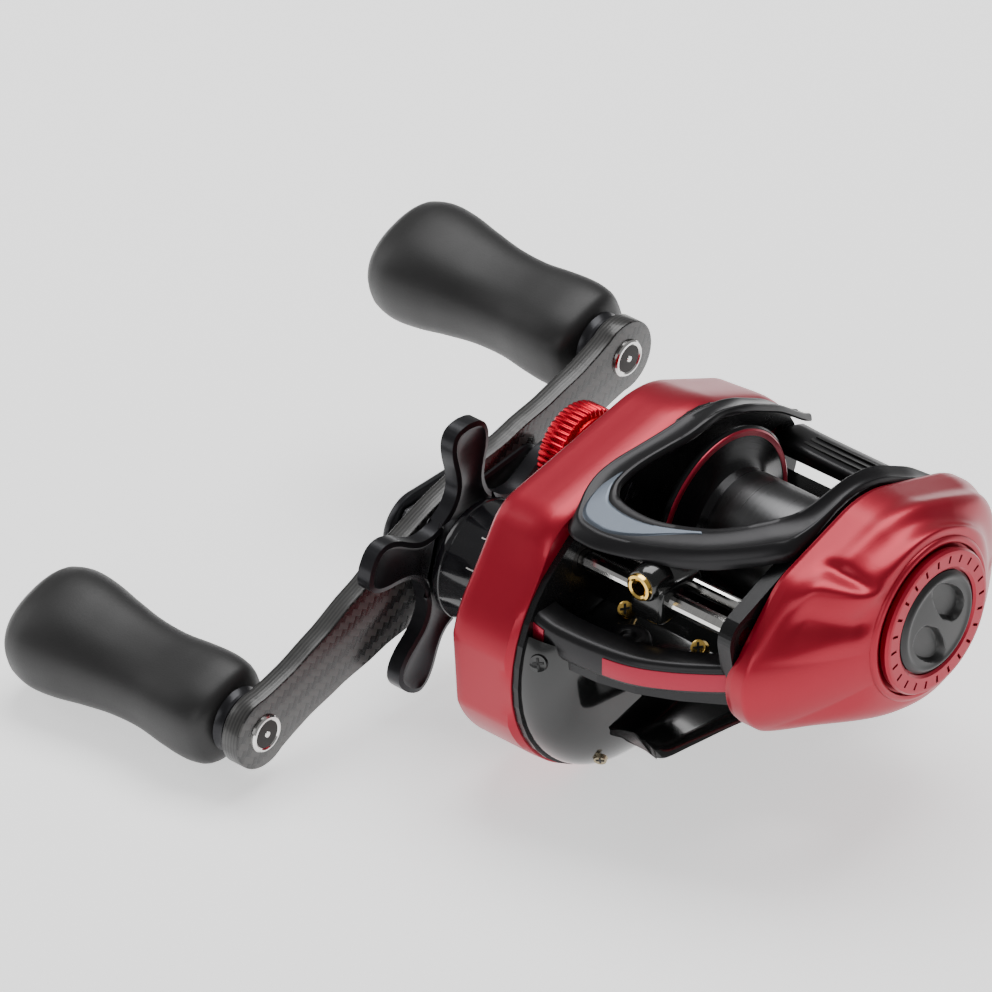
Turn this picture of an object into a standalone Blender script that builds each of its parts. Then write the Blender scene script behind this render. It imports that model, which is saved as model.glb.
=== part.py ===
"""Low-profile baitcasting reel, modelled as the separate pieces it is assembled from.

Frame: +X points to the palm side, -X to the handle, -Y is the front where the line leaves,
+Y is the rear under the angler's thumb, and +Z is up. The origin is the middle of the reel
foot's underside. Sizes are in millimetres and become metres in mm().
"""

import math

import bmesh
import bpy

# ---- axes -------------------------------------------------------------------------------
SPOOL_AXIS_Y = 4.0
FOOT_THICKNESS = 2.1
SPOOL_AXIS_Z = 20.0
GEAR_MODULE = 0.6
DRIVE_TEETH = 71
PINION_TEETH = 7
DRIVE_DIRECTION = 214.9  # degrees from +Y towards +Z, seen from the spool axis
LEVEL_TEETH = 44
WORM_TEETH = 18
WORM_DIRECTION = 114.8  # degrees, seen from the drive axis
GUIDE_BAR_OFFSET = (4.6, 1.1)  # from the worm axis, along Y and Z

# ---- fits -------------------------------------------------------------------------------
SEAT_GAP = 0.3  # between two pieces that rest on each other
RUN_FIT = 0.1  # radial, a shaft that turns in a bore
PRESS_FIT = 0.05  # radial, a piece that stays put in its seat
TOOTH_ADDENDUM = 0.5
TOOTH_DEDENDUM = 0.62

# ---- frame ------------------------------------------------------------------------------
BAY_LEFT = -17.2  # inner faces of the two side frames
BAY_RIGHT = 13.6
LEFT_WALL = 2.8
RIGHT_WALL = 2.6
TROUGH_WALL = 1.1
NOSE_HEIGHT = 6.0
NOSE_DEPTH = 5.0
REAR_BAR = 5.0
FOOT_LENGTH = 62.0
FOOT_END_WIDTH = 11.0
FOOT_MIDDLE_WIDTH = 22.0
FOOT_SEAT_WIDTH = 5.0
FOOT_ARCH = 1.3

# ---- spool ------------------------------------------------------------------------------
SPOOL_RADIUS = 16.0
ARBOR_RADIUS = 9.5
SPOOL_HALF_WIDTH = 12.5
FLANGE = 1.2
SPOOL_SHAFT_RADIUS = 1.0
SPOOL_CORE_RADIUS = 1.6
SPOOL_CLEARANCE = 0.6  # flange to trough and side opening

# ---- gear train -------------------------------------------------------------------------
LEVEL_GEAR_WIDTH = 1.2
DRIVE_GEAR_WIDTH = 3.2
DRAG_RECESS = 1.3
DRAG_RADIUS = 12.0
CARBON_WASHER = 0.7
KEY_WASHER = 0.4
PRESSURE_PLATE = 0.8
DRIVE_SHAFT_RADIUS = 2.5
CLUTCH_TRAVEL = 1.6
THUMB_TRAVEL = 4.0
YOKE_THICKNESS = 1.5
YOKE_POST_SPACING = 9.0
YOKE_POST_RADIUS = 0.8
PINION_END_RADIUS = 3.2
NECK_SINK = 0.2  # less than the gap left beside the main gear when the pinion has slid

# ---- handle side ------------------------------------------------------------------------
COVER_WALL = 1.5
COVER_FACE = 1.8
COVER_CHAMFER = 2.6
COLLAR_RADIUS = 10.5
COLLAR_LENGTH = 16.2
CAST_TUBE_RADIUS = 5.0
CAST_CAP_RADIUS = 7.8
CAST_NECK_RADIUS = 6.5
CAST_CAP_LENGTH = 12.4
STAR_RADIUS = 24.5
STAR_HUB_RADIUS = 8.0
STAR_THICKNESS = 3.0
STAR_ARMS = 5
HANDLE_HALF_LENGTH = 46.2
HANDLE_TILT = 18.2
ARM_THICKNESS = 3.6
ARM_END_RADIUS = 6.4
ARM_MIDDLE_RADIUS = 9.0
SPINDLE_RADIUS = 2.0
GRIP_LENGTH = 44.0
GRIP_WIDTH = 22.0
GRIP_THICKNESS = 18.0

# ---- palm side --------------------------------------------------------------------------
PALM_DEPTH = 14.3
PALM_WALL = 1.5
PALM_TAPER = 4.0
DIAL_RADIUS = 12.5
DIAL_THICKNESS = 1.6
DIAL_CAP_RADIUS = 8.8
DIAL_STEM_RADIUS = 3.0

# ---- level wind -------------------------------------------------------------------------
WORM_RADIUS = 1.6
GUIDE_BAR_RADIUS = 1.2
GUIDE_X = -1.8
GUIDE_WIDTH = 6.4
EYE_RADIUS = 1.6
EYE_TUBE = 2.4
EYE_OFFSET = (-3.2, 3.8)  # centre of the eye from the worm axis, along Y and Z

ROUND = 28  # sides of a large turned piece
SMALL_ROUND = 16  # sides of a small one


def mm(value):
    return value * 0.001


def polar(radius, degrees, centre=(0.0, 0.0)):
    angle = math.radians(degrees)
    return (centre[0] + radius * math.cos(angle), centre[1] + radius * math.sin(angle))


def offset(a, b):
    return (a[0] + b[0], a[1] + b[1])


# ---- scene ------------------------------------------------------------------------------
def clear_scene():
    for item in list(bpy.data.objects):
        bpy.data.objects.remove(item, do_unlink=True)


def new_collection(name):
    collection = bpy.data.collections.new(name)
    bpy.context.scene.collection.children.link(collection)
    return collection


clear_scene()
PARTS = new_collection("baitcasting_reel")
CUTTERS = new_collection("cutters")


def material(name, colour, roughness, metallic):
    made = bpy.data.materials.new(name)
    made.use_nodes = True
    shader = made.node_tree.nodes["Principled BSDF"]
    shader.inputs["Base Color"].default_value = (*colour, 1.0)
    shader.inputs["Roughness"].default_value = roughness
    shader.inputs["Metallic"].default_value = metallic
    return made


LOOKS = {
    "red": ((0.60, 0.02, 0.05), 0.35, 0.8),
    "black": ((0.015, 0.015, 0.017), 0.35, 0.6),
    "gloss": ((0.01, 0.01, 0.012), 0.15, 0.5),
    "grip": ((0.02, 0.02, 0.02), 0.7, 0.0),
    "carbon": ((0.03, 0.03, 0.03), 0.4, 0.1),
    "steel": ((0.60, 0.60, 0.62), 0.25, 1.0),
    "brass": ((0.80, 0.55, 0.20), 0.25, 1.0),
    "grey": ((0.18, 0.20, 0.23), 0.35, 0.5),
    "arbor": ((0.20, 0.21, 0.22), 0.3, 0.9),
    "fibre": ((0.05, 0.05, 0.05), 0.8, 0.0),
    "nylon": ((0.75, 0.75, 0.72), 0.5, 0.0),
}


def axis_empty(name, centre):
    """An empty whose local X, Y and Z run along the reel's Y, Z and X."""
    empty = bpy.data.objects.new(name, None)
    empty.location = (0.0, mm(centre[0]), mm(centre[1]))
    empty.rotation_euler = (math.pi / 2, 0.0, math.pi / 2)
    PARTS.objects.link(empty)
    return empty


def add_object(name, mesh, look, axis, helper=False):
    made = bpy.data.objects.new(name, mesh)
    (CUTTERS if helper else PARTS).objects.link(made)
    made.parent = axis
    if helper:
        made.hide_render = True
        made.display_type = "WIRE"
    else:
        mesh.materials.append(material(name, *LOOKS[look]))
        mesh.shade_smooth()
        mesh.set_sharp_from_angle(angle=math.radians(35))
    return made


# ---- shapes -----------------------------------------------------------------------------
def turned(name, look, axis, outer, bore=None, steps=ROUND, helper=False):
    """Turn a profile about the axis. outer lists (x, radius) from the palm end down to the
    handle end. bore is a radius, or (x, radius) pairs back from the handle end."""
    if bore is None:
        profile = [(outer[0][0], 0.0), *outer, (outer[-1][0], 0.0)]
    elif isinstance(bore, (int, float)):
        profile = [*outer, (outer[-1][0], bore), (outer[0][0], bore)]
    else:
        profile = [*outer, *bore]
    mesh = bpy.data.meshes.new(name)
    bm = bmesh.new()
    verts = [bm.verts.new((mm(r), 0.0, mm(x))) for x, r in profile]
    pairs = list(zip(verts, verts[1:]))
    if bore is not None:
        pairs.append((verts[-1], verts[0]))
    for a, b in pairs:
        bm.edges.new((a, b))
    bm.to_mesh(mesh)
    bm.free()
    made = add_object(name, mesh, look, axis, helper)
    screw = made.modifiers.new("turn", "SCREW")
    screw.axis = "Z"
    screw.angle = 2 * math.pi
    screw.steps = screw.render_steps = steps
    screw.use_merge_vertices = True
    screw.merge_threshold = 0.000001
    return made


def ring(name, look, axis, x_low, x_high, outer, inner, steps=SMALL_ROUND):
    return turned(name, look, axis, [(x_high, outer), (x_low, outer)], inner, steps)


def rod(name, look, axis, x_low, x_high, radius, steps=SMALL_ROUND, helper=False):
    return turned(name, look, axis, [(x_high, radius), (x_low, radius)], None, steps, helper)


def plate(name, look, axis, outlines, x_low, x_high, helper=False):
    """Extrude flat outlines along X. An outline inside another one is a hole."""
    curve = bpy.data.curves.new(name, "CURVE")
    curve.dimensions = "2D"
    curve.fill_mode = "BOTH"
    curve.extrude = mm(x_high - x_low) / 2
    for points in outlines:
        spline = curve.splines.new("POLY")
        spline.points.add(len(points) - 1)
        for point, (y, z) in zip(spline.points, points):
            point.co = (mm(y), mm(z), 0.0, 1.0)
        spline.use_cyclic_u = True
    source = bpy.data.objects.new(name + "_outline", curve)
    CUTTERS.objects.link(source)
    bpy.context.view_layer.update()
    depsgraph = bpy.context.evaluated_depsgraph_get()
    mesh = bpy.data.meshes.new_from_object(source.evaluated_get(depsgraph))
    mesh.name = name
    bpy.data.objects.remove(source, do_unlink=True)
    bpy.data.curves.remove(curve)
    bm = bmesh.new()
    bm.from_mesh(mesh)
    bmesh.ops.remove_doubles(bm, verts=bm.verts, dist=0.000001)
    bmesh.ops.translate(bm, verts=bm.verts, vec=(0.0, 0.0, mm(x_low + x_high) / 2))
    bmesh.ops.recalc_face_normals(bm, faces=bm.faces)
    bm.to_mesh(mesh)
    bm.free()
    return add_object(name, mesh, look, axis, helper)


def box(name, look, axis, y, z, x, helper=False):
    corners = [(y[0], z[0]), (y[1], z[0]), (y[1], z[1]), (y[0], z[1])]
    return plate(name, look, axis, [corners], x[0], x[1], helper)


def loft(name, look, axis, rings, helper=False):
    """Skin a run of rings of (y, z, x) points that all have the same count, and cap both ends."""
    mesh = bpy.data.meshes.new(name)
    bm = bmesh.new()
    loops = [[bm.verts.new((mm(y), mm(z), mm(x))) for y, z, x in points] for points in rings]
    count = len(loops[0])
    for near, far in zip(loops, loops[1:]):
        for i in range(count):
            j = (i + 1) % count
            bm.faces.new((near[i], near[j], far[j], far[i]))
    bm.faces.new(loops[0])
    bm.faces.new(loops[-1])
    bmesh.ops.recalc_face_normals(bm, faces=bm.faces)
    bm.to_mesh(mesh)
    bm.free()
    return add_object(name, mesh, look, axis, helper)


def belt(circles, inset=0.0, count=40):
    """The outline of a belt stretched round circles of (y, z, radius)."""
    points = []
    for i in range(count):
        angle = 2 * math.pi * i / count
        c, s = math.cos(angle), math.sin(angle)
        y, z, radius = max(circles, key=lambda k: k[0] * c + k[1] * s + k[2])
        points.append((y + (radius - inset) * c, z + (radius - inset) * s))
    return points


def circle(centre, radius, count=SMALL_ROUND):
    return [polar(radius, 360 * i / count, centre) for i in range(count)]


def at(points, x):
    return [(y, z, x) for y, z in points]


def boolean(target, other, operation):
    step = target.modifiers.new(operation.lower(), "BOOLEAN")
    step.operation = operation
    step.solver = "EXACT"
    step.object = other


def cut(target, other):
    boolean(target, other, "DIFFERENCE")


def join(target, other):
    boolean(target, other, "UNION")


def gear_outline(teeth, share, tip_share, dedendum, phase=0.0):
    """Straight-sided teeth. share is the tooth's part of the pitch at its middle."""
    pitch = 360 / teeth
    radius = GEAR_MODULE * teeth / 2
    root_share = min(2 * share - tip_share, 0.92)
    points = []
    for i in range(teeth):
        middle = phase + i * pitch
        points += [
            polar(radius - dedendum, middle - root_share * pitch / 2),
            polar(radius + TOOTH_ADDENDUM, middle - tip_share * pitch / 2),
            polar(radius + TOOTH_ADDENDUM, middle + tip_share * pitch / 2),
            polar(radius - dedendum, middle + root_share * pitch / 2),
        ]
    return points


# ---- the three gear axes ----------------------------------------------------------------
drive_reach = GEAR_MODULE * (DRIVE_TEETH + PINION_TEETH) / 2
worm_reach = GEAR_MODULE * (LEVEL_TEETH + WORM_TEETH) / 2
DRIVE = polar(drive_reach, DRIVE_DIRECTION)  # from the spool axis
WORM = polar(worm_reach, WORM_DIRECTION, DRIVE)
GUIDE_BAR = offset(WORM, GUIDE_BAR_OFFSET)
EYE = offset(WORM, EYE_OFFSET)
drive_gear_tip = GEAR_MODULE * DRIVE_TEETH / 2 + TOOTH_ADDENDUM
worm_gear_tip = GEAR_MODULE * WORM_TEETH / 2 + TOOTH_ADDENDUM

SPOOL_CENTRE = (SPOOL_AXIS_Y, SPOOL_AXIS_Z)
spool_axis = axis_empty("spool_axis", SPOOL_CENTRE)
drive_axis = axis_empty("drive_axis", offset(SPOOL_CENTRE, DRIVE))
worm_axis = axis_empty("worm_axis", offset(SPOOL_CENTRE, WORM))
guide_axis = axis_empty("guide_axis", offset(SPOOL_CENTRE, GUIDE_BAR))
foot_axis = axis_empty("foot_axis", (0.0, 0.0))

# ---- places along X, handle side, counted outwards from the left frame wall ---------------
frame_left = BAY_LEFT - LEFT_WALL
frame_right = BAY_RIGHT + RIGHT_WALL


def stack(start, sizes, gap=0.1):
    """Spans of pieces laid one after another towards -X, as (low, high)."""
    spans = []
    for size in sizes:
        high = start - gap
        start = high - size
        spans.append((start, high))
    return spans


level_span, flange_span, ratchet_span, gear_span = stack(
    frame_left - 1.0, (LEVEL_GEAR_WIDTH, 0.7, 0.8, DRIVE_GEAR_WIDTH)
)
recess_floor = gear_span[0] + DRAG_RECESS
inner_carbon, key_span, outer_carbon, pressure_span = stack(
    recess_floor, (CARBON_WASHER, KEY_WASHER, CARBON_WASHER, PRESSURE_PLATE)
)
cover_inside = pressure_span[0] - SEAT_GAP
cover_face = cover_inside - COVER_FACE
collar_span = (cover_face - SEAT_GAP - COLLAR_LENGTH, cover_face - SEAT_GAP)
star_span = (collar_span[0] - 1.0 - STAR_THICKNESS, collar_span[0] - 1.0)
arm_span = (star_span[0] - 1.6 - ARM_THICKNESS, star_span[0] - 1.6)
nut_span, nut_cover_span = stack(arm_span[0], (3.0, 1.6), SEAT_GAP)
shaft_end = nut_span[0] + 0.4
knob_collar_span = stack(arm_span[0], (2.2,), SEAT_GAP)[0]
grip_span = (knob_collar_span[0] - SEAT_GAP - GRIP_LENGTH, knob_collar_span[0] - SEAT_GAP)

teeth_high = gear_span[1] + CLUTCH_TRAVEL + 0.3
teeth_low = cover_inside + CLUTCH_TRAVEL + 0.3
groove_width = YOKE_THICKNESS + 0.4
groove_high = teeth_high + groove_width
yoke_span = (teeth_high + 0.2, teeth_high + 0.2 + YOKE_THICKNESS)
pin_x = BAY_LEFT - 0.1
pinion_end = pin_x + 0.9

cast_tube_end = cover_face - 10.0
cast_cap_low = cast_tube_end - 3.6
cast_cap_high = cast_cap_low + CAST_CAP_LENGTH
spool_shaft_low = cast_tube_end - 0.4

palm_span = (frame_right + SEAT_GAP, frame_right + SEAT_GAP + PALM_DEPTH)
dial_span = (palm_span[1] + SEAT_GAP, palm_span[1] + SEAT_GAP + DIAL_THICKNESS)
housing_span = (frame_right + 2.4, frame_right + 3.8)
palm_bearing_span = (housing_span[1] + 0.1, housing_span[1] + 2.3)
spool_shaft_high = palm_bearing_span[1] - 0.2

# ---- outlines of the side frames and covers, as belts round circles -------------------------
HOUSING_RADIUS = drive_gear_tip + 0.5 + COVER_WALL
worm_boss = worm_gear_tip + 0.6 + COVER_WALL
cover_circles = [
    (0.0, 0.0, SPOOL_RADIUS + 0.4),
    (*DRIVE, HOUSING_RADIUS),
    (*WORM, worm_boss),
    (14.0, -1.0, 11.5),
]
left_circles = [
    (0.0, 0.0, SPOOL_RADIUS + 1.2),
    (*DRIVE, HOUSING_RADIUS),
    (*WORM, 5.6),
    (14.0, -1.0, 11.5),
]
palm_circles = [
    (0.0, -0.6, SPOOL_RADIUS + 2.8),
    (-19.6, -4.2, 10.4),
    (14.4, 0.0, 12.4),
]
right_circles = [
    (0.0, 0.0, SPOOL_RADIUS + 1.2),
    (-19.6, -4.2, 10.0),
    (*WORM, 4.0),
    (14.0, -1.0, 11.5),
]
COVER_POSTS = [(-16.0, 10.6), (4.0, -19.5), (17.0, -8.0)]

# ---- main frame -------------------------------------------------------------------------
main_frame = plate(
    "main_frame", "black", spool_axis, [belt(left_circles)], frame_left, BAY_LEFT
)
right_frame = plate(
    "right_frame", None, spool_axis, [belt(right_circles)], BAY_RIGHT, frame_right, helper=True
)
spool_opening = SPOOL_RADIUS + SPOOL_CLEARANCE
cut(right_frame, rod("spool_opening", None, spool_axis, BAY_RIGHT - 5, frame_right + 5,
                     spool_opening, 32, helper=True))
join(main_frame, right_frame)

trough_inner = spool_opening
trough_outer = trough_inner + TROUGH_WALL
TROUGH_ARC = (225, 320)
arc = [TROUGH_ARC[0] + (TROUGH_ARC[1] - TROUGH_ARC[0]) * i / 12 for i in range(13)]
trough = plate(
    "trough", None, spool_axis,
    [[polar(trough_outer, a) for a in arc] + [polar(trough_inner, a) for a in reversed(arc)]],
    BAY_LEFT - 1, BAY_RIGHT + 1, helper=True,
)
join(main_frame, trough)

nose_left = (DRIVE[0] - HOUSING_RADIUS + 5.0, -3.0)
nose_right = (palm_circles[1][0] - palm_circles[1][2] + 1.0, -3.0)


def nose_section(x, front):
    y, z = front
    return at([(y, z - NOSE_HEIGHT), (y, z), (y + NOSE_DEPTH, z), (y + NOSE_DEPTH, z - NOSE_HEIGHT)], x)


NOSE_BULGE = 3.8  # how far the bar's middle stands in front of a straight line
nose_rings = []
for share, bulge in ((0.0, 0.0), (0.2, 0.55), (0.4, 0.95), (0.6, 1.0), (0.8, 0.65), (1.0, 0.0)):
    y, z = (a + (b - a) * share for a, b in zip(nose_left, nose_right))
    x = BAY_LEFT - 1 + (BAY_RIGHT - BAY_LEFT + 2) * share
    nose_rings.append(nose_section(x, (y - NOSE_BULGE * bulge, z)))
join(main_frame, loft("nose_bar", None, spool_axis, nose_rings, helper=True))
rear_bar_y = SPOOL_RADIUS + 2.5
rear_bar = box("rear_bar", None, spool_axis, (rear_bar_y, rear_bar_y + REAR_BAR), (-9.5, -4.5),
               (BAY_LEFT - 1, BAY_RIGHT + 1), helper=True)
join(main_frame, rear_bar)

pinion_bearing_radius = PINION_END_RADIUS + 2.0
seats = [
    ("pinion_seat", spool_axis, frame_left - 1, BAY_LEFT + 1, pinion_bearing_radius + PRESS_FIT),
    ("shaft_seat", drive_axis, frame_left - 1, BAY_LEFT - 0.6, 4.0 + PRESS_FIT),
    ("worm_seat_left", worm_axis, frame_left - 1, BAY_LEFT + 1, WORM_RADIUS + 1.4 + PRESS_FIT),
    ("worm_seat_right", worm_axis, BAY_RIGHT - 1, frame_right + 1, WORM_RADIUS + 1.4 + PRESS_FIT),
    ("guide_seat_left", guide_axis, frame_left + 0.6, BAY_LEFT + 1, GUIDE_BAR_RADIUS + PRESS_FIT),
    ("guide_seat_right", guide_axis, BAY_RIGHT - 1, frame_right - 0.6, GUIDE_BAR_RADIUS + PRESS_FIT),
]
for seat, axis, low, high, radius in seats:
    cut(main_frame, rod(seat, None, axis, low, high, radius, SMALL_ROUND, helper=True))

THUMB_Y = (rear_bar_y - 0.5, rear_bar_y + 9.0)
THUMB_Z = (2.0, 5.0)
LUG_Y = (THUMB_Y[0] + 0.5, THUMB_Y[0] + 3.0)
cut(main_frame, box("thumb_slot", None, spool_axis,
                    (LUG_Y[0] - SEAT_GAP, LUG_Y[1] + SEAT_GAP),
                    (THUMB_Z[0] - THUMB_TRAVEL - SEAT_GAP, THUMB_Z[1] + SEAT_GAP),
                    (frame_left - 1, BAY_LEFT + 1), helper=True))

YOKE_DIRECTION = DRIVE_DIRECTION + 90.0
yoke_posts = [polar(YOKE_POST_SPACING * side, YOKE_DIRECTION) for side in (1, -1)]
post_low = cover_inside + 0.6
for index, (y, z) in enumerate(yoke_posts):
    post = plate(f"yoke_post_{index}", None, spool_axis, [circle((y, z), YOKE_POST_RADIUS, 12)],
                 post_low, frame_left + 0.5, helper=True)
    join(main_frame, post)

SCREW_RADIUS = 0.9
SCREW_HEAD = 1.8
for index, (y, z) in enumerate(COVER_POSTS):
    for kind, radius, low in (("hole", SCREW_RADIUS + 0.15, frame_left - 1),
                              ("sink", SCREW_HEAD + 0.15, BAY_LEFT - 1.2)):
        cutter = plate(f"screw_{kind}_{index}", None, spool_axis, [circle((y, z), radius, 16)],
                       low, BAY_LEFT + 1, helper=True)
        cut(main_frame, cutter)

# ---- gear case ------------------------------------------------------------------------------
CASE_REACH = 8.0  # how far the gear case stands into the bay beside the foot
CASE_TOP = nose_left[1] - NOSE_HEIGHT - SEAT_GAP
CASE_REAR = 262  # degrees round the drive axis, where the case ends behind
trough_clear = trough_outer + SEAT_GAP + 0.2


def case_outline(inset):
    """Round the drive axis below the nose bar, and back along the underside of the trough."""
    radius = HOUSING_RADIUS - 0.8 - inset
    start = 180 - math.degrees(math.asin((CASE_TOP - inset - DRIVE[1]) / radius))
    end = CASE_REAR - inset * 4
    outer = [polar(radius, start + (end - start) * i / 14, DRIVE) for i in range(15)]
    inner = [polar(trough_clear + inset, 230 - inset * 2 - (22 - inset * 2) * i / 6) for i in range(7)]
    return outer + inner


loft("gear_case", "gloss", spool_axis,
     [at(case_outline(0.0), BAY_LEFT + SEAT_GAP), at(case_outline(0.0), BAY_LEFT + CASE_REACH - 3.0),
      at(case_outline(1.0), BAY_LEFT + CASE_REACH - 1.0), at(case_outline(2.4), BAY_LEFT + CASE_REACH)])

# ---- reel foot ----------------------------------------------------------------------------
def foot_section(y, width):
    """An arched strip across the reel, flat in the middle, thinner to its edges."""
    half, seat, rise = width / 2, FOOT_SEAT_WIDTH / 2, FOOT_ARCH * width / FOOT_MIDDLE_WIDTH
    low = [(-half, -rise), (-seat, 0.0), (seat, 0.0), (half, -rise)]
    high = [(half, -rise + 0.9), (seat, FOOT_THICKNESS), (-seat, FOOT_THICKNESS),
            (-half, -rise + 0.9)]
    return [(y, z, x) for x, z in low + high]


foot_stations = [(-0.5, 0.72), (-0.47, 1.0), (-0.2, 1.5), (0.0, 2.0), (0.2, 1.5), (0.47, 1.0),
                 (0.5, 0.72)]
foot_widths = [FOOT_END_WIDTH + (FOOT_MIDDLE_WIDTH - FOOT_END_WIDTH) * (k - 1) if k >= 1
               else FOOT_END_WIDTH * k for _, k in foot_stations]
loft("reel_foot", "black", foot_axis,
     [foot_section(place * FOOT_LENGTH, width)
      for (place, _), width in zip(foot_stations, foot_widths)])

# ---- hood ---------------------------------------------------------------------------------
HOOD_RADIUS = SPOOL_RADIUS + 3.2
HOOD_WALL = 1.2
HOOD_FRONT = WORM[0] - 4.6
HOOD_ARC = (62, 105)
HOOD_REAR = 18.5
# The front lip and the opening seen from above, as (x, y) from the palm side to the handle side.
HOOD_LIP = [(17.0, -16.4), (12.2, -20.4), (7.4, -24.1), (3.6, -26.3), (-1.0, -28.4), (-5.0, -29.8),
            (-9.2, -31.0), (-13.0, -31.5), (-17.2, -31.2), (-19.4, -26.9), (-21.0, -23.8)]
HOOD_OPENING = [(13.0, -5.5), (12.0, -10.5), (7.1, -16.0), (1.9, -20.1), (-3.4, -22.0),
                (-9.2, -22.7), (-12.4, -22.3), (-14.9, -21.4), (-16.4, -17.5), (-15.7, -13.6),
                (-13.1, -5.6), (-12.2, 1.0)]


def tangent_point(radius, degrees, y):
    """Where the tangent to a circle about the spool axis reaches a given y."""
    y0, z0 = polar(radius, degrees)
    return (y, z0 - (y - y0) / math.tan(math.radians(degrees)))


def hood_profile(radius):
    """Round the spool, and straight on along the tangent to the rear and to the front lip."""
    angles = [HOOD_ARC[0] + (HOOD_ARC[1] - HOOD_ARC[0]) * i / 10 for i in range(11)]
    return [
        tangent_point(radius, HOOD_ARC[0], HOOD_REAR),
        *[polar(radius, a) for a in angles],
        tangent_point(radius, HOOD_ARC[1], HOOD_FRONT),
    ]


hood_outline = hood_profile(HOOD_RADIUS) + list(reversed(hood_profile(HOOD_RADIUS - HOOD_WALL)))
front_hood = plate("front_hood", "black", spool_axis, [hood_outline], frame_left, frame_right)


def from_above(name, outline):
    """An upright cutter with an outline of (x, y) points."""
    return loft(name, None, spool_axis, [[(y, z, x) for x, y in outline] for z in (0.0, 30.0)],
                helper=True)


cut(front_hood, from_above("hood_opening", HOOD_OPENING + [(-12.2, 30.0), (13.0, 30.0)]))
cut(front_hood, from_above("hood_lip", HOOD_LIP + [(-21.0, -40.0), (17.0, -40.0)]))

inlay_profile = hood_profile(HOOD_RADIUS + 0.3 + 0.7)[-2:]
inlay_base = hood_profile(HOOD_RADIUS + 0.3)[-2:]


def along(points, share):
    (y0, z0), (y1, z1) = points
    return (y0 + (y1 - y0) * share, z0 + (z1 - z0) * share)


INLAY_SHARES = (0.87, 0.71)  # of the hood's straight front
inlay = [along(inlay_profile, INLAY_SHARES[0]), along(inlay_profile, INLAY_SHARES[1]),
         along(inlay_base, INLAY_SHARES[1]), along(inlay_base, INLAY_SHARES[0])]
plate("hood_inlay", "grey", spool_axis, [inlay], BAY_LEFT + 3.0, BAY_LEFT + 15.0)

# ---- handle side cover, its screws and the pieces seated in it ------------------------------
cover_open = frame_left - SEAT_GAP
cover = loft(
    "handle_side_cover", "red", spool_axis,
    [at(belt(cover_circles, COVER_CHAMFER), cover_face),
     at(belt(cover_circles), cover_face + COVER_CHAMFER),
     at(belt(cover_circles), cover_open),
     at(belt(cover_circles, COVER_WALL), cover_open),
     at(belt(cover_circles, COVER_WALL), cover_inside)],
)
cast_tube = rod("cast_tube", None, spool_axis, cast_tube_end, cover_inside - 0.5,
                CAST_TUBE_RADIUS, 24, helper=True)
join(cover, cast_tube)
for index, (y, z) in enumerate(COVER_POSTS):
    post = plate(f"cover_post_{index}", None, spool_axis, [circle((y, z), 2.0, 12)],
                 cover_inside - 0.5, cover_open - 0.4, helper=True)
    join(cover, post)
spool_bearing_radius = 3.6
cut(cover, rod("spool_bore", None, spool_axis, cast_tube_end - 1, cover_inside + 1,
               SPOOL_SHAFT_RADIUS + 0.8, SMALL_ROUND, helper=True))
cut(cover, rod("bearing_bore", None, spool_axis, cast_tube_end - 1, cast_tube_end + 2.7,
               spool_bearing_radius + PRESS_FIT, SMALL_ROUND, helper=True))
sleeve_radius = DRIVE_SHAFT_RADIUS + 1.9
cut(cover, rod("sleeve_bore", None, drive_axis, cover_face - 1, cover_inside + 1,
               sleeve_radius + 0.5, SMALL_ROUND, helper=True))
screw_length = 6.0
for index, (y, z) in enumerate(COVER_POSTS):
    hole = plate(f"post_hole_{index}", None, spool_axis, [circle((y, z), SCREW_RADIUS + 0.1, 12)],
                 cover_open - screw_length + 1.6, cover_open + 1, helper=True)
    cut(cover, hole)
    screw_axis = axis_empty(f"cover_screw_axis_{index}", offset(SPOOL_CENTRE, (y, z)))
    head_top = BAY_LEFT - 0.1
    turned(f"cover_screw_{index + 1}", "steel", screw_axis,
           [(head_top, SCREW_HEAD), (head_top - 1.0, SCREW_HEAD), (head_top - 1.0, SCREW_RADIUS),
            (cover_open - screw_length + 2.0, SCREW_RADIUS)], None, 12)

one_way_radius = 8.2
one_way_span = (collar_span[0] + 1.2, collar_span[0] + 10.0)
turned("drive_shaft_collar", "gloss", drive_axis,
       [(collar_span[1], COLLAR_RADIUS), (collar_span[0] + 0.5, COLLAR_RADIUS),
        (collar_span[0], COLLAR_RADIUS - 0.5)],
       [(collar_span[0], one_way_radius + PRESS_FIT), (one_way_span[1] + 0.2, one_way_radius + PRESS_FIT),
        (one_way_span[1] + 0.2, sleeve_radius + 0.5), (collar_span[1], sleeve_radius + 0.5)])
ring("one_way_bearing", "steel", drive_axis, *one_way_span, one_way_radius,
     sleeve_radius + RUN_FIT, ROUND)
ring("drive_shaft_bearing", "steel", drive_axis, frame_left + 0.2, BAY_LEFT - 0.7, 4.0,
     DRIVE_SHAFT_RADIUS - 0.5 + RUN_FIT)
ring("pinion_bearing", "steel", spool_axis, frame_left + 0.2, BAY_LEFT - 0.2,
     pinion_bearing_radius, PINION_END_RADIUS + RUN_FIT)
ring("spool_bearing_handle", "steel", spool_axis, cast_tube_end + 0.2, cast_tube_end + 2.6,
     spool_bearing_radius, SPOOL_SHAFT_RADIUS + RUN_FIT)
for side, low, high in (("left", frame_left + 0.2, BAY_LEFT - 0.2),
                        ("right", BAY_RIGHT + 0.2, frame_right - 0.2)):
    ring(f"worm_bushing_{side}", "brass", worm_axis, low, high, WORM_RADIUS + 1.4,
         WORM_RADIUS + RUN_FIT)
rod("guide_bar", "steel", guide_axis, frame_left + 0.8, frame_right - 0.8, GUIDE_BAR_RADIUS, 16)

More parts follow.
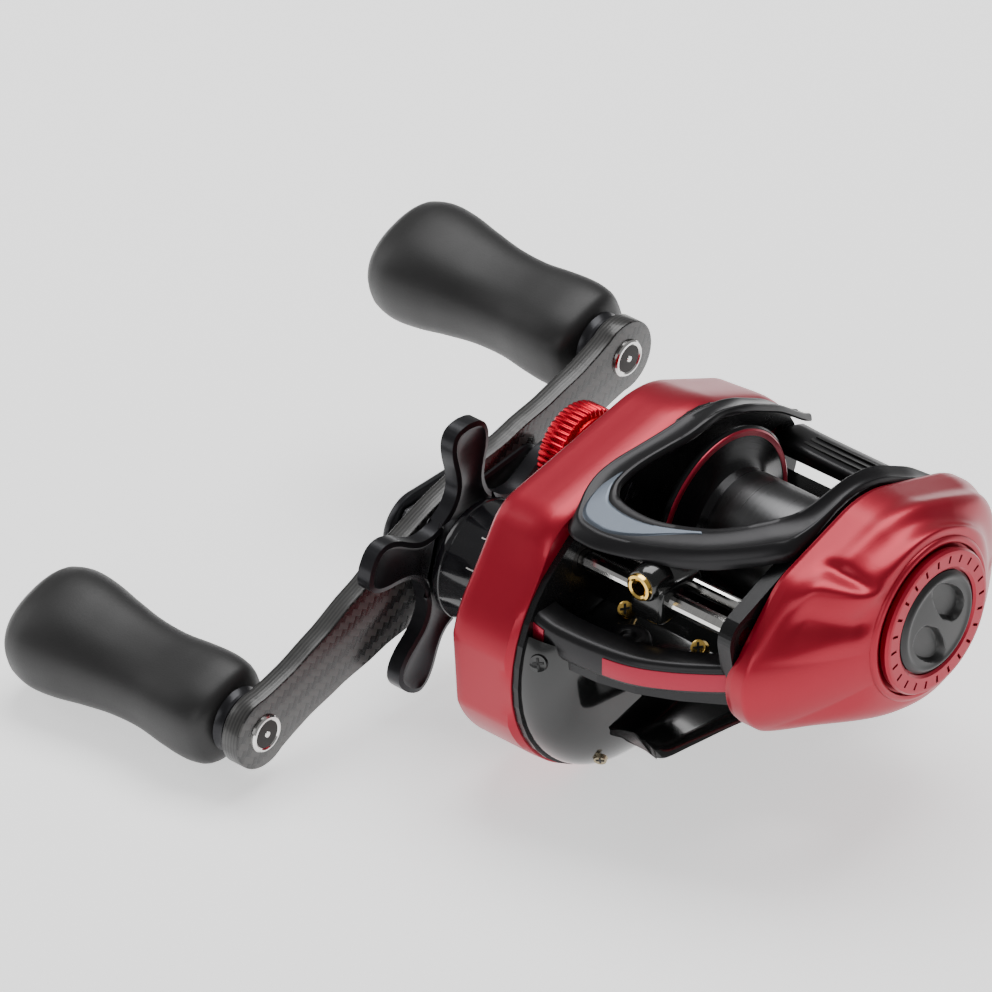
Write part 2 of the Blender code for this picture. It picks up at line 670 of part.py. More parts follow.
# ---- clutch ---------------------------------------------------------------------------------
THUMB_CURL = 1.6  # how far the bar's rear edge rolls down
thumb_bar = plate(
    "thumb_bar", "black", spool_axis,
    [[(THUMB_Y[0], THUMB_Z[0]), (THUMB_Y[1] - 2.5, THUMB_Z[0]),
      (THUMB_Y[1] - 1.0, THUMB_Z[0] - THUMB_CURL), (THUMB_Y[1], THUMB_Z[0] - THUMB_CURL + 0.6),
      (THUMB_Y[1] - 0.6, THUMB_Z[0] + 1.0), (THUMB_Y[1] - 3.0, THUMB_Z[1] - 0.6),
      (THUMB_Y[0] + 3.0, THUMB_Z[1]), (THUMB_Y[0], THUMB_Z[1])]],
    BAY_LEFT + SEAT_GAP, BAY_RIGHT - SEAT_GAP)
join(thumb_bar, box("thumb_lug", None, spool_axis, LUG_Y, THUMB_Z,
                    (frame_left - 0.1, BAY_LEFT + 1), helper=True))
soften = thumb_bar.modifiers.new("soften", "BEVEL")
soften.width = mm(0.8)
soften.segments = 2
soften.angle_limit = math.radians(60)
CAM_THICKNESS = 0.6
cam_front = YOKE_POST_SPACING - 1.0
plate("clutch_cam", "steel", spool_axis,
      [[(cam_front, 1.0), (LUG_Y[1], THUMB_Z[0]), (LUG_Y[1], THUMB_Z[1]), (LUG_Y[0], THUMB_Z[1]),
        (cam_front, 4.0)]],
      frame_left - 0.3 - CAM_THICKNESS, frame_left - 0.3)

yoke_neck = GEAR_MODULE * PINION_TEETH / 2 - 0.35
slot_end = polar(12.0, DRIVE_DIRECTION + 180)
clutch_yoke = plate(
    "clutch_yoke", "steel", spool_axis,
    [belt([(0.0, 0.0, 4.2)] + [(y, z, 2.4) for y, z in yoke_posts], 0.0, 40)]
    + [circle(post, YOKE_POST_RADIUS + 0.2, 12) for post in yoke_posts],
    *yoke_span,
)
cut(clutch_yoke, plate(
    "yoke_slot", None, spool_axis,
    [belt([(0.0, 0.0, yoke_neck + 0.2), (*slot_end, yoke_neck + 0.2)], 0.0, 24)],
    yoke_span[0] - 1, yoke_span[1] + 1, helper=True,
))

SPRING_TURNS = 3
SPRING_STEPS = 8
SPRING_WIRE = 0.25
spring_radius = YOKE_POST_RADIUS + SPRING_WIRE + 0.3
spring_low = cover_inside + CLUTCH_TRAVEL + SPRING_WIRE + 0.2
spring_high = yoke_span[0] - SPRING_WIRE - 0.05


def coil_spring(name, centre):
    curve = bpy.data.curves.new(name, "CURVE")
    curve.dimensions = "3D"
    curve.bevel_depth = mm(SPRING_WIRE)
    curve.bevel_resolution = 0
    curve.use_fill_caps = True
    spline = curve.splines.new("POLY")
    count = SPRING_TURNS * SPRING_STEPS + 1
    spline.points.add(count - 1)
    for i, point in enumerate(spline.points):
        y, z = polar(spring_radius, 360 * i / SPRING_STEPS, centre)
        x = spring_low + (spring_high - spring_low) * i / (count - 1)
        point.co = (mm(y), mm(z), mm(x), 1.0)
    curve.materials.append(material(name, *LOOKS["steel"]))
    made = bpy.data.objects.new(name, curve)
    PARTS.objects.link(made)
    made.parent = spool_axis


coil_spring("yoke_spring_front", yoke_posts[1])
coil_spring("yoke_spring_rear", yoke_posts[0])

# ---- pinion -----------------------------------------------------------------------------
pinion_phase = DRIVE_DIRECTION + 180 / PINION_TEETH
pinion = plate("pinion_gear", "brass", spool_axis,
               [gear_outline(PINION_TEETH, 0.38, 0.15, 0.56, pinion_phase)], teeth_low, teeth_high)
join(pinion, turned(
    "pinion_neck", None, spool_axis,
    [(pinion_end, PINION_END_RADIUS), (groove_high, PINION_END_RADIUS), (groove_high, yoke_neck),
     (teeth_high - NECK_SINK, yoke_neck)], None, SMALL_ROUND, helper=True))
cut(pinion, rod("pinion_bore", None, spool_axis, teeth_low - 1, pinion_end + 1,
                SPOOL_SHAFT_RADIUS + RUN_FIT, 16, helper=True))
PIN_RADIUS = 0.45
cut(pinion, box("pinion_slot", None, spool_axis, (-PINION_END_RADIUS - 1, PINION_END_RADIUS + 1),
                (-PIN_RADIUS - 0.15, PIN_RADIUS + 0.15),
                (pin_x - PIN_RADIUS - 0.2, pinion_end + 1), helper=True))

# ---- drive shaft, main gear and drag stack ------------------------------------------------
shaft_hub = DRIVE_SHAFT_RADIUS + 0.4
turned("drive_shaft", "steel", drive_axis,
       [(BAY_LEFT - 0.8, DRIVE_SHAFT_RADIUS - 0.5), (frame_left - 0.3, DRIVE_SHAFT_RADIUS - 0.5),
        (frame_left - 0.3, shaft_hub), (flange_span[1], shaft_hub), (flange_span[1], 7.0),
        (flange_span[0], 7.0), (flange_span[0], DRIVE_SHAFT_RADIUS),
        (shaft_end, DRIVE_SHAFT_RADIUS)], None, 24)
plate("level_drive_gear", "nylon", drive_axis,
      [gear_outline(LEVEL_TEETH, 0.40, 0.22, TOOTH_DEDENDUM, WORM_DIRECTION),
       circle((0, 0), shaft_hub + PRESS_FIT)], *level_span)
ratchet = []
for i in range(12):
    ratchet += [polar(9.0, 30 * i), polar(7.8, 30 * i + 3), polar(8.6, 30 * i + 17)]
shaft_bore = circle((0, 0), DRIVE_SHAFT_RADIUS + PRESS_FIT, 24)
plate("ratchet_wheel", "steel", drive_axis, [ratchet, shaft_bore], *ratchet_span)
drive_gear = plate("drive_gear", "brass", drive_axis,
                   [gear_outline(DRIVE_TEETH, 0.40, 0.22, TOOTH_DEDENDUM, DRIVE_DIRECTION + 180),
                    shaft_bore], *gear_span)
cut(drive_gear, rod("drag_recess", None, drive_axis, gear_span[0] - 1, recess_floor,
                    DRAG_RADIUS + 0.2, ROUND, helper=True))
for name, look, span, radius in (
    ("drag_washer_inner", "fibre", inner_carbon, DRAG_RADIUS),
    ("drag_key_washer", "steel", key_span, DRAG_RADIUS - 0.2),
    ("drag_washer_outer", "fibre", outer_carbon, DRAG_RADIUS),
    ("drag_pressure_plate", "steel", pressure_span, DRAG_RADIUS - 0.6),
):
    ring(name, look, drive_axis, *span, radius, DRIVE_SHAFT_RADIUS + PRESS_FIT, 28)
spring_washer_span = (star_span[1] + 0.1, star_span[1] + 0.9)
ring("clutch_sleeve", "steel", drive_axis, spring_washer_span[1] + 0.1, pressure_span[0] - 0.1,
     sleeve_radius, DRIVE_SHAFT_RADIUS + PRESS_FIT)
ring("spring_washer", "steel", drive_axis, *spring_washer_span, sleeve_radius - 0.2,
     DRIVE_SHAFT_RADIUS + PRESS_FIT)

# ---- star drag and handle -------------------------------------------------------------------
STAR_PROFILE = [(0.33, -32), (0.46, -16), (0.62, -11), (0.82, -11), (0.94, -8), (1.0, -2),
                (1.0, 3), (0.94, 9), (0.82, 11), (0.62, 12), (0.46, 16)]
star = []
for i in range(STAR_ARMS):
    for share, angle in STAR_PROFILE:
        radius = max(STAR_RADIUS * share, STAR_HUB_RADIUS)
        star.append(polar(radius, 88 + 360 * i / STAR_ARMS + angle))
plate("star_drag", "black", drive_axis,
      [star, circle((0, 0), DRIVE_SHAFT_RADIUS + RUN_FIT, 24)], *star_span)

knob_places = [("rear", polar(HANDLE_HALF_LENGTH, HANDLE_TILT)),
               ("front", polar(HANDLE_HALF_LENGTH, HANDLE_TILT + 180))]
plate("handle_arm", "carbon", drive_axis,
      [belt([(0.0, 0.0, ARM_MIDDLE_RADIUS)] + [(y, z, ARM_END_RADIUS) for _, (y, z) in knob_places]),
       circle((0, 0), DRIVE_SHAFT_RADIUS + PRESS_FIT, 24)]
      + [circle(place, SPINDLE_RADIUS + PRESS_FIT, 16) for _, place in knob_places], *arm_span)
plate("handle_nut", "steel", drive_axis,
      [circle((0, 0), 5.4, 6), circle((0, 0), DRIVE_SHAFT_RADIUS + PRESS_FIT, 24)], *nut_span)
plate("nut_cover", "black", drive_axis,
      [belt([(0.0, 0.0, 6.4), (*polar(11.0, HANDLE_TILT), 3.0)], 0.0, 32)], *nut_cover_span)

GRIP_STATIONS = [  # from the far end to the arm: share of length, of width, of thickness
    (1.0, 0.55, 0.5), (0.96, 0.84, 0.8), (0.86, 0.99, 0.97), (0.75, 1.0, 1.0),
    (0.58, 0.86, 0.86), (0.4, 0.74, 0.76), (0.24, 0.74, 0.78), (0.1, 0.8, 0.84),
    (0.03, 0.76, 0.8), (0.0, 0.6, 0.64),
]


def grip_ring(share, width, thickness, count=20):
    """A rounded rectangle across the spindle, wide along the arm."""
    points = []
    for i in range(count):
        angle = 2 * math.pi * i / count
        c, s = math.cos(angle), math.sin(angle)
        u = GRIP_WIDTH / 2 * width * math.copysign(abs(c) ** 0.8, c)
        v = GRIP_THICKNESS / 2 * thickness * math.copysign(abs(s) ** 0.8, s)
        turn = math.radians(HANDLE_TILT)
        points.append((u * math.cos(turn) - v * math.sin(turn),
                       u * math.sin(turn) + v * math.cos(turn)))
    return at(points, grip_span[1] - share * GRIP_LENGTH)


spindle_end = grip_span[0] + 6.0
for side, place in knob_places:
    knob_axis = axis_empty(f"knob_axis_{side}", offset(offset(SPOOL_CENTRE, DRIVE), place))
    turned(f"knob_spindle_{side}", "steel", knob_axis,
           [(arm_span[1] + 0.5, 2.9), (arm_span[1] + 0.1, 2.9), (arm_span[1] + 0.1, SPINDLE_RADIUS),
            (spindle_end, SPINDLE_RADIUS)], None, SMALL_ROUND)
    ring(f"knob_collar_{side}", "black", knob_axis, *knob_collar_span, 5.6,
         SPINDLE_RADIUS + PRESS_FIT)
    bore = circle((0, 0), SPINDLE_RADIUS + RUN_FIT, 20)
    loft(f"grip_{side}", "grip", knob_axis,
         [grip_ring(*station) for station in GRIP_STATIONS]
         + [at(bore, grip_span[1]), at(bore, spindle_end - 0.5)])

# ---- cast control ---------------------------------------------------------------------------
cap_floor = cast_cap_low + 1.6
turned("cast_control_cap", "red", spool_axis,
       [(cap_floor, CAST_TUBE_RADIUS + RUN_FIT), (cast_cap_high, CAST_TUBE_RADIUS + RUN_FIT),
        (cast_cap_high, CAST_NECK_RADIUS), (cast_cap_low + 5.2, CAST_NECK_RADIUS),
        (cast_cap_low + 5.2, CAST_CAP_RADIUS), (cast_cap_low + 0.5, CAST_CAP_RADIUS),
        (cast_cap_low, CAST_CAP_RADIUS - 0.5)])
rod("tension_shim", "brass", spool_axis, cap_floor + 0.1, cap_floor + 0.9,
    CAST_TUBE_RADIUS - 0.4)

# ---- spool ----------------------------------------------------------------------------------
half, inside = SPOOL_HALF_WIDTH, SPOOL_HALF_WIDTH - FLANGE
recess_radius = ARBOR_RADIUS - 1.2
core = SPOOL_CORE_RADIUS + PRESS_FIT
HUB_HALF = 6.0
turned("spool", "black", spool_axis,
       [(half, SPOOL_RADIUS), (inside, SPOOL_RADIUS), (inside, ARBOR_RADIUS),
        (-inside, ARBOR_RADIUS), (-inside, SPOOL_RADIUS), (-half, SPOOL_RADIUS)],
       [(-half, recess_radius), (-HUB_HALF, recess_radius), (-HUB_HALF, core), (HUB_HALF, core),
        (HUB_HALF, recess_radius), (half, recess_radius)], 32)
shaft = turned("spool_shaft", "steel", spool_axis,
               [(spool_shaft_high, SPOOL_SHAFT_RADIUS), (half + 1.0, SPOOL_SHAFT_RADIUS),
                (half + 1.0, SPOOL_CORE_RADIUS), (-half, SPOOL_CORE_RADIUS),
                (-half, SPOOL_SHAFT_RADIUS), (spool_shaft_low, SPOOL_SHAFT_RADIUS)],
               None, 16)
pin_length = PINION_END_RADIUS * 2 - 0.6
for name, radius, helper in (("pin_hole", PIN_RADIUS + PRESS_FIT, True),
                             ("spool_pin", PIN_RADIUS, False)):
    length = pin_length + (4 if helper else 0)
    pin = turned(name, "steel", spool_axis, [(length / 2, radius), (-length / 2, radius)],
                 None, 12, helper)
    pin.rotation_euler = (0.0, math.pi / 2, 0.0)
    pin.location = (0.0, 0.0, mm(pin_x))
    if helper:
        cut(shaft, pin)
inductor_high = housing_span[0] - 1.2
turned("brake_inductor", "steel", spool_axis,
       [(inductor_high, recess_radius - 0.3), (HUB_HALF + 0.4, recess_radius - 0.3)],
       [(HUB_HALF + 0.4, core), (HUB_HALF + 1.4, core), (HUB_HALF + 1.4, recess_radius - 1.3),
        (inductor_high, recess_radius - 1.3)])

# ---- level wind ------------------------------------------------------------------------------
gear_seat = WORM_RADIUS - 0.4
turned("worm_shaft", "steel", worm_axis,
       [(frame_right - 0.3, WORM_RADIUS), (frame_left - 0.2, WORM_RADIUS),
        (frame_left - 0.2, gear_seat), (level_span[0] - 0.5, gear_seat)], None, SMALL_ROUND)
plate("worm_gear", "nylon", worm_axis,
      [gear_outline(WORM_TEETH, 0.40, 0.22, TOOTH_DEDENDUM,
                    WORM_DIRECTION + 180 + 180 / WORM_TEETH),
       circle((0, 0), gear_seat + PRESS_FIT, 16)], *level_span)

GUIDE_WALL = 1.6
block_front = WORM_RADIUS + GUIDE_WALL
block_rear = GUIDE_BAR_OFFSET[0] + GUIDE_BAR_RADIUS + 1.2
guide_x = (GUIDE_X - GUIDE_WIDTH / 2, GUIDE_X + GUIDE_WIDTH / 2)
line_guide = box("line_guide", "black", worm_axis, (-block_front, block_rear),
                 (-block_front, block_front), guide_x)


def along_y(name, look, outer, bore=None, steps=SMALL_ROUND, helper=False):
    """A piece turned about the line guide's eye. Its profile runs from the rear forwards."""
    made = turned(name, look, worm_axis, outer, bore, steps, helper)
    made.rotation_euler = (0.0, math.pi / 2, 0.0)
    made.location = (mm(EYE_OFFSET[0]), mm(EYE_OFFSET[1]), mm(GUIDE_X))
    return made


tube_radius = EYE_RADIUS + 1.1
ring_radius = EYE_RADIUS + 0.6
cut(line_guide, rod("worm_bore", None, worm_axis, guide_x[0] - 1, guide_x[1] + 1,
                    WORM_RADIUS + RUN_FIT, SMALL_ROUND, helper=True))
bar_bore = plate("bar_bore", None, worm_axis,
                 [circle(GUIDE_BAR_OFFSET, GUIDE_BAR_RADIUS + RUN_FIT, 16)],
                 guide_x[0] - 1, guide_x[1] + 1, helper=True)
cut(line_guide, bar_bore)
PAWL_RADIUS = 1.3
for name, profile, helper in (
    ("pawl_bore", [(-WORM_RADIUS / 3, PAWL_RADIUS + RUN_FIT), (-block_front - 1, PAWL_RADIUS + RUN_FIT)], True),
    ("pawl", [(-WORM_RADIUS - 0.1, PAWL_RADIUS), (-block_front - 0.2, PAWL_RADIUS),
              (-block_front - 0.2, PAWL_RADIUS + 0.7), (-block_front - 1.0, PAWL_RADIUS + 0.7)], False),
):
    made = turned(name, "brass", worm_axis, profile, None, 16, helper)
    made.rotation_euler = (-math.pi / 2, 0.0, 0.0)
    made.location = (0.0, 0.0, mm(GUIDE_X))
    if helper:
        cut(line_guide, made)

join(line_guide, along_y("eye_tube", None, [(EYE_TUBE / 2, tube_radius), (-EYE_TUBE / 2, tube_radius)],
                         helper=True))
seat_depth = 1.2 - EYE_TUBE / 2
cut(line_guide, along_y("eye_hole", None, [
    (block_rear - EYE_OFFSET[0] + 1, EYE_RADIUS), (seat_depth, EYE_RADIUS),
    (seat_depth, ring_radius + PRESS_FIT),
    (-EYE_TUBE, ring_radius + PRESS_FIT)], helper=True))
along_y("line_guide_ring", "brass", [(seat_depth - 0.1, ring_radius),
                                     (-0.5 - EYE_TUBE / 2, ring_radius)], EYE_RADIUS - 0.4)

# ---- palm side plate and brake ---------------------------------------------------------------
palm_open, palm_face = palm_span
PALM_FACE_WALL = 1.6
palm = loft(
    "palm_side_plate", "red", spool_axis,
    [at(belt(palm_circles, PALM_TAPER), palm_face),
     at(belt(palm_circles, 1.2), palm_face - PALM_TAPER),
     at(belt(palm_circles), palm_open + 2.0),
     at(belt(palm_circles), palm_open),
     at(belt(palm_circles, PALM_WALL), palm_open),
     at(belt(palm_circles, PALM_WALL), palm_open + 2.0),
     at(belt(palm_circles, PALM_WALL + 1.2), palm_face - PALM_TAPER),
     at(belt(palm_circles, PALM_WALL + 3.0), palm_face - PALM_FACE_WALL)],
)
cut(palm, rod("stem_hole", None, spool_axis, palm_face - 4, palm_face + 1,
              DIAL_STEM_RADIUS + RUN_FIT, SMALL_ROUND, helper=True))
turned("brake_housing", "black", spool_axis,
       [(palm_bearing_span[1], 5.0), (housing_span[1], 5.0),
        (housing_span[1], SPOOL_RADIUS - 0.2), (housing_span[0], SPOOL_RADIUS - 0.2)],
       [(housing_span[0], SPOOL_SHAFT_RADIUS + 0.3), (housing_span[1], SPOOL_SHAFT_RADIUS + 0.3),
        (housing_span[1], spool_bearing_radius + PRESS_FIT),
        (palm_bearing_span[1], spool_bearing_radius + PRESS_FIT)])
ring("spool_bearing_palm", "steel", spool_axis, palm_bearing_span[0], palm_bearing_span[1] - 0.1,
     spool_bearing_radius, SPOOL_SHAFT_RADIUS + RUN_FIT)

CAP_RECESS = 0.9
magnet_disc = (palm_face - PALM_FACE_WALL - 2.6, palm_face - PALM_FACE_WALL - 1.6)
magnet_low = housing_span[1] + 0.6
turned("brake_dial", "black", spool_axis,
       [(dial_span[1] - CAP_RECESS, DIAL_CAP_RADIUS + 0.1), (dial_span[1], DIAL_CAP_RADIUS + 0.1),
        (dial_span[1], DIAL_RADIUS - 0.6), (dial_span[1] - 0.6, DIAL_RADIUS),
        (dial_span[0], DIAL_RADIUS), (dial_span[0], DIAL_STEM_RADIUS),
        (magnet_disc[1] + 0.1, DIAL_STEM_RADIUS), (magnet_disc[1] + 0.1, DIAL_STEM_RADIUS - 1.0),
        (magnet_disc[0] - 0.2, DIAL_STEM_RADIUS - 1.0)])
rod("brake_cap", "gloss", spool_axis, dial_span[1] - CAP_RECESS + 0.1, dial_span[1] + 0.3,
    DIAL_CAP_RADIUS, ROUND)
magnet_radius = SPOOL_RADIUS * 0.72
turned("magnet_ring", "grey", spool_axis,
       [(magnet_disc[1], magnet_radius), (magnet_low, magnet_radius)],
       [(magnet_low, magnet_radius - 2.0), (magnet_disc[0], magnet_radius - 2.0),
        (magnet_disc[0], DIAL_STEM_RADIUS - 1.0 + PRESS_FIT),
        (magnet_disc[1], DIAL_STEM_RADIUS - 1.0 + PRESS_FIT)])
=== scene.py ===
"""Looks for the low-profile baitcasting reel: its painted covers, sculpted hood, soft grips,
woven carbon arm, polished rods and the light and camera they are seen with.

Sizes are in millimetres from the spool axis: x along it to the palm side, y to the rear, z up.
"""

import math

import bmesh
import bpy
from mathutils import Matrix, Vector


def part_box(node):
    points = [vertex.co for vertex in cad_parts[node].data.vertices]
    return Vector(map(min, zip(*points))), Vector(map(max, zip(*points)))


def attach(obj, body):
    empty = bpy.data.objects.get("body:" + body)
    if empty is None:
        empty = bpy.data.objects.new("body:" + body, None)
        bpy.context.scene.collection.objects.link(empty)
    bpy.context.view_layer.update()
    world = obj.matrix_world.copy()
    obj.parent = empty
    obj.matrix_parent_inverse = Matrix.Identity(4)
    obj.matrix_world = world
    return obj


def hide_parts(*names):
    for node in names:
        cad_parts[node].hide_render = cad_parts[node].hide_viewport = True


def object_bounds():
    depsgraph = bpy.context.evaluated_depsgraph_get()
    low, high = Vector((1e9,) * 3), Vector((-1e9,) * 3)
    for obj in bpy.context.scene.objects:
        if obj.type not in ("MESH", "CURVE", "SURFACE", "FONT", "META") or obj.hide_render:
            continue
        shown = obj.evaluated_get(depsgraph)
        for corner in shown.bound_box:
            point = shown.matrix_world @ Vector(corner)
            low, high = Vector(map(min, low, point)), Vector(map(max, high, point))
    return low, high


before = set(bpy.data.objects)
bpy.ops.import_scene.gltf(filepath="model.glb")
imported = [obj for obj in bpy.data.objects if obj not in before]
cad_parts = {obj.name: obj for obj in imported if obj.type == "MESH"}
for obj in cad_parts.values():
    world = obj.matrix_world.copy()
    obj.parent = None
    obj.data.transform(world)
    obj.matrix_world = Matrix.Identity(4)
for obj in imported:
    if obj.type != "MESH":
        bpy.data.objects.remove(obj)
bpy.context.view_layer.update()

MM = 0.001
SPOOL_AXIS = Vector((0.0, 4.0, 20.0))
DRIVE = (-19.19, -13.39)
WORM = (-26.99, 3.50)
HANDLE_TILT = math.radians(18.2)
KNOB_REACH = 46.2  # from the drive axis to a knob spindle
KNOBS = {
    side: tuple(DRIVE[i] + sign * KNOB_REACH * (math.cos, math.sin)[i](HANDLE_TILT) for i in (0, 1))
    for side, sign in (("rear", 1), ("front", -1))
}


def place(x, y, z):
    return (Vector((x, y, z)) + SPOOL_AXIS) * MM


def span(node):
    """The lowest and highest x of a CAD node, in millimetres."""
    low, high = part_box(node)
    return low.x * 1000, high.x * 1000


def mix(a, b, share):
    return a + (b - a) * share


def hill(value, centre, width):
    """A smooth hump, 1 at its centre."""
    return math.exp(-(((value - centre) / width) ** 2))


def ease(value, low, high):
    """Rises smoothly from 0 at low to 1 at high."""
    t = min(max((value - low) / (high - low), 0.0), 1.0)
    return t * t * (3 - 2 * t)


# ---- materials ---------------------------------------------------------------------------
class Value:
    """One number in a material's node tree, with ordinary arithmetic."""

    def __init__(self, finish, socket):
        self.finish, self.socket = finish, socket

    def maths(self, operation, a, b=0.0, c=0.0):
        return self.finish.add("Math", {"operation": operation}, {0: a, 1: b, 2: c})

    def __add__(self, other):
        return self.maths("ADD", self, other)

    __radd__ = __add__

    def __mul__(self, other):
        return self.maths("MULTIPLY", self, other)

    __rmul__ = __mul__

    def __sub__(self, other):
        return self.maths("SUBTRACT", self, other)

    def __rsub__(self, other):
        return self.maths("SUBTRACT", other, self)

    def __truediv__(self, other):
        return self.maths("DIVIDE", self, other)

    def __gt__(self, other):
        return self.maths("GREATER_THAN", self, other)

    def __lt__(self, other):
        return self.maths("LESS_THAN", self, other)

    def __mod__(self, other):
        return self.maths("FLOORED_MODULO", self, other)

    def absolute(self):
        return self.maths("ABSOLUTE", self)

    def root(self):
        return self.maths("SQRT", self)

    def sine(self):
        return self.maths("SINE", self)

    def angle(self, other):
        return self.maths("ARCTAN2", self, other)

    def larger(self, other):
        return self.maths("MAXIMUM", self, other)

    def floor(self):
        return self.maths("FLOOR", self)


class Finish:
    """A material under construction. add() makes one node and returns its first output."""

    def __init__(self, name, colour, roughness, metallic=0.0, **fixed):
        self.made = bpy.data.materials.new(name)
        self.made.use_nodes = True
        self.tree = self.made.node_tree
        self.shader = self.tree.nodes["Principled BSDF"]
        self.put("Base Color", (*colour, 1.0))
        self.put("Roughness", roughness)
        self.put("Metallic", metallic)
        for socket, value in fixed.items():
            self.put(socket.replace("_", " "), value)
        self.point = self.add("TexCoord", {}, {}, "Object").socket

    def add(self, kind, settings, inputs, output=0):
        node = self.tree.nodes.new("ShaderNode" + kind)
        for name, value in settings.items():
            setattr(node, name, value)
        for name, value in inputs.items():
            self.join(node.inputs[name], value)
        return Value(self, node.outputs[output])

    def join(self, socket, value):
        if isinstance(value, Value):
            self.tree.links.new(value.socket, socket)
        elif hasattr(value, "is_output"):
            self.tree.links.new(value, socket)
        else:
            socket.default_value = value

    def put(self, socket, value):
        self.join(self.shader.inputs[socket], value)

    def about(self, centre=(0.0, 0.0), tilt=0.0):
        """x, y and z in millimetres, counted from a centre (y, z) and turned about x."""
        middle = place(0.0, *centre)
        moved = self.add("Mapping", {"vector_type": "TEXTURE"},
                         {"Vector": self.point, "Location": middle, "Rotation": (tilt, 0, 0),
                          "Scale": (MM, MM, MM)})
        split = self.add("SeparateXYZ", {}, {0: moved})
        return [Value(self, split.socket.node.outputs[i]) for i in range(3)] + [moved]

    def noise(self, scale, detail=3.0, vector=None, roughness=0.5):
        return self.add("TexNoise", {}, {"Vector": vector or self.point, "Scale": scale,
                                         "Detail": detail, "Roughness": roughness})

    def blend(self, share, first, second):
        return self.add("Mix", {"data_type": "RGBA"}, {0: share, 6: first, 7: second}, 2)

    def bump(self, height, strength, distance=0.0002):
        self.put("Normal", self.add("Bump", {}, {"Height": height, "Strength": strength,
                                                 "Distance": distance}))


def tint(colour, share):
    return tuple(c * share for c in colour[:3]) + (1.0,)


FINISHES = {}


def painted(name, colour, roughness, metallic, speckle=0.08, **fixed):
    """Sprayed metal-flake paint: fine flake, faint mottling and orange peel."""
    f = Finish(name, colour, roughness, metallic, **fixed)
    flake = f.noise(5200.0, 2.0)
    cloud = f.noise(60.0, 4.0)
    f.put("Base Color", f.blend(flake * 0.6 + cloud * 0.4, tint(colour, 1 - speckle),
                                tint(colour, 1 + speckle)))
    f.put("Roughness", cloud * 0.10 + flake * 0.05 + (roughness - 0.075))
    f.bump(f.noise(900.0, 3.0) * 0.7 + flake * 0.3, 0.10, 0.00008)
    FINISHES[name] = f.made
    return f


painted("red_paint", (0.36, 0.002, 0.020), 0.38, 0.60, Coat_Weight=0.25, Coat_Roughness=0.22)
painted("accent_red", (0.34, 0.003, 0.026), 0.30, 0.55, Coat_Weight=0.3, Coat_Roughness=0.2)
painted("satin_black", (0.017, 0.0165, 0.018), 0.33, 0.55, 0.15)
painted("star_black", (0.020, 0.020, 0.023), 0.30, 0.60, 0.15)
painted("frame_black", (0.012, 0.012, 0.013), 0.26, 0.45, 0.2)
painted("case_black", (0.008, 0.0085, 0.0085), 0.17, 0.2, 0.2, Coat_Weight=0.5, Coat_Roughness=0.08)
painted("inlay_grey", (0.10, 0.118, 0.145), 0.30, 0.65, 0.12)
painted("cap_black", (0.022, 0.022, 0.022), 0.42, 0.1, 0.2)


def turned_metal(name, colour, roughness, centre=(0.0, 0.0), grain=0.25, metallic=1.0):
    """Lathe-turned metal: fine rings round the axis that the tool left."""
    f = Finish(name, colour, roughness, metallic)
    x, y, z, _ = f.about(centre)
    radius = (y * y + z * z).root()
    lines = f.add("CombineXYZ", {}, {0: x * 9.0, 1: radius * 9.0, 2: y.angle(z) * 0.6})
    grooves = f.noise(1.0, 3.0, lines)
    f.put("Base Color", f.blend(grooves, tint(colour, 0.82), tint(colour, 1.12)))
    f.put("Roughness", grooves * 0.16 + f.noise(300.0) * 0.06 + (roughness - 0.1))
    f.bump(grooves, grain, 0.00005)
    FINISHES[name] = f.made
    return f


turned_metal("anodised_red", (0.60, 0.008, 0.028), 0.27)
turned_metal("steel", (0.55, 0.55, 0.57), 0.24)
turned_metal("bright_steel", (0.80, 0.79, 0.77), 0.13, WORM, 0.08)
turned_metal("rivet_dark", (0.045, 0.043, 0.042), 0.5)
turned_metal("brass", (0.72, 0.50, 0.20), 0.26)
turned_metal("gold_ring", (0.95, 0.62, 0.16), 0.16, WORM, 0.05)
turned_metal("screw_steel", (0.42, 0.36, 0.24), 0.3)
turned_metal("spool_black", (0.012, 0.012, 0.013), 0.22, metallic=0.6)
turned_metal("arbor_metal", (0.09, 0.09, 0.092), 0.3)
turned_metal("magnet_grey", (0.30, 0.31, 0.33), 0.35)


FINE_MARKS, LONG_MARKS = 7.5, 30.0  # degrees between the collar's graduations


def collar_finish():
    """Gloss black with plain white graduations round it."""
    f = Finish("collar_black", (0.008, 0.008, 0.010), 0.16, 0.3, Coat_Weight=0.6,
               Coat_Roughness=0.06)
    x, y, z, _ = f.about(DRIVE)
    low, high = span("drive_shaft_collar")
    turn = z.angle(y) * (180 / math.pi)
    along = (x - low) / (high - low)
    fine = ((turn + 360.0) % FINE_MARKS) < 0.9
    long = ((turn + 360.0) % LONG_MARKS) < 1.3
    band = (along > 0.52) * (along < 0.66)
    tall = (along > 0.40) * (along < 0.66)
    marks = (fine * band).larger(long * tall)
    worn = f.noise(1800.0, 2.0) > 0.36
    f.put("Base Color", f.blend(marks * worn, (0.008, 0.008, 0.010, 1), (0.62, 0.62, 0.60, 1)))
    f.put("Roughness", f.noise(500.0, 3.0) * 0.12 + marks * 0.25 + 0.10)
    f.bump(f.noise(1.0, 2.0, f.add("CombineXYZ", {}, {0: x * 6.0, 1: turn * 0.01})), 0.05, 0.00005)
    FINISHES["collar_black"] = f.made


collar_finish()


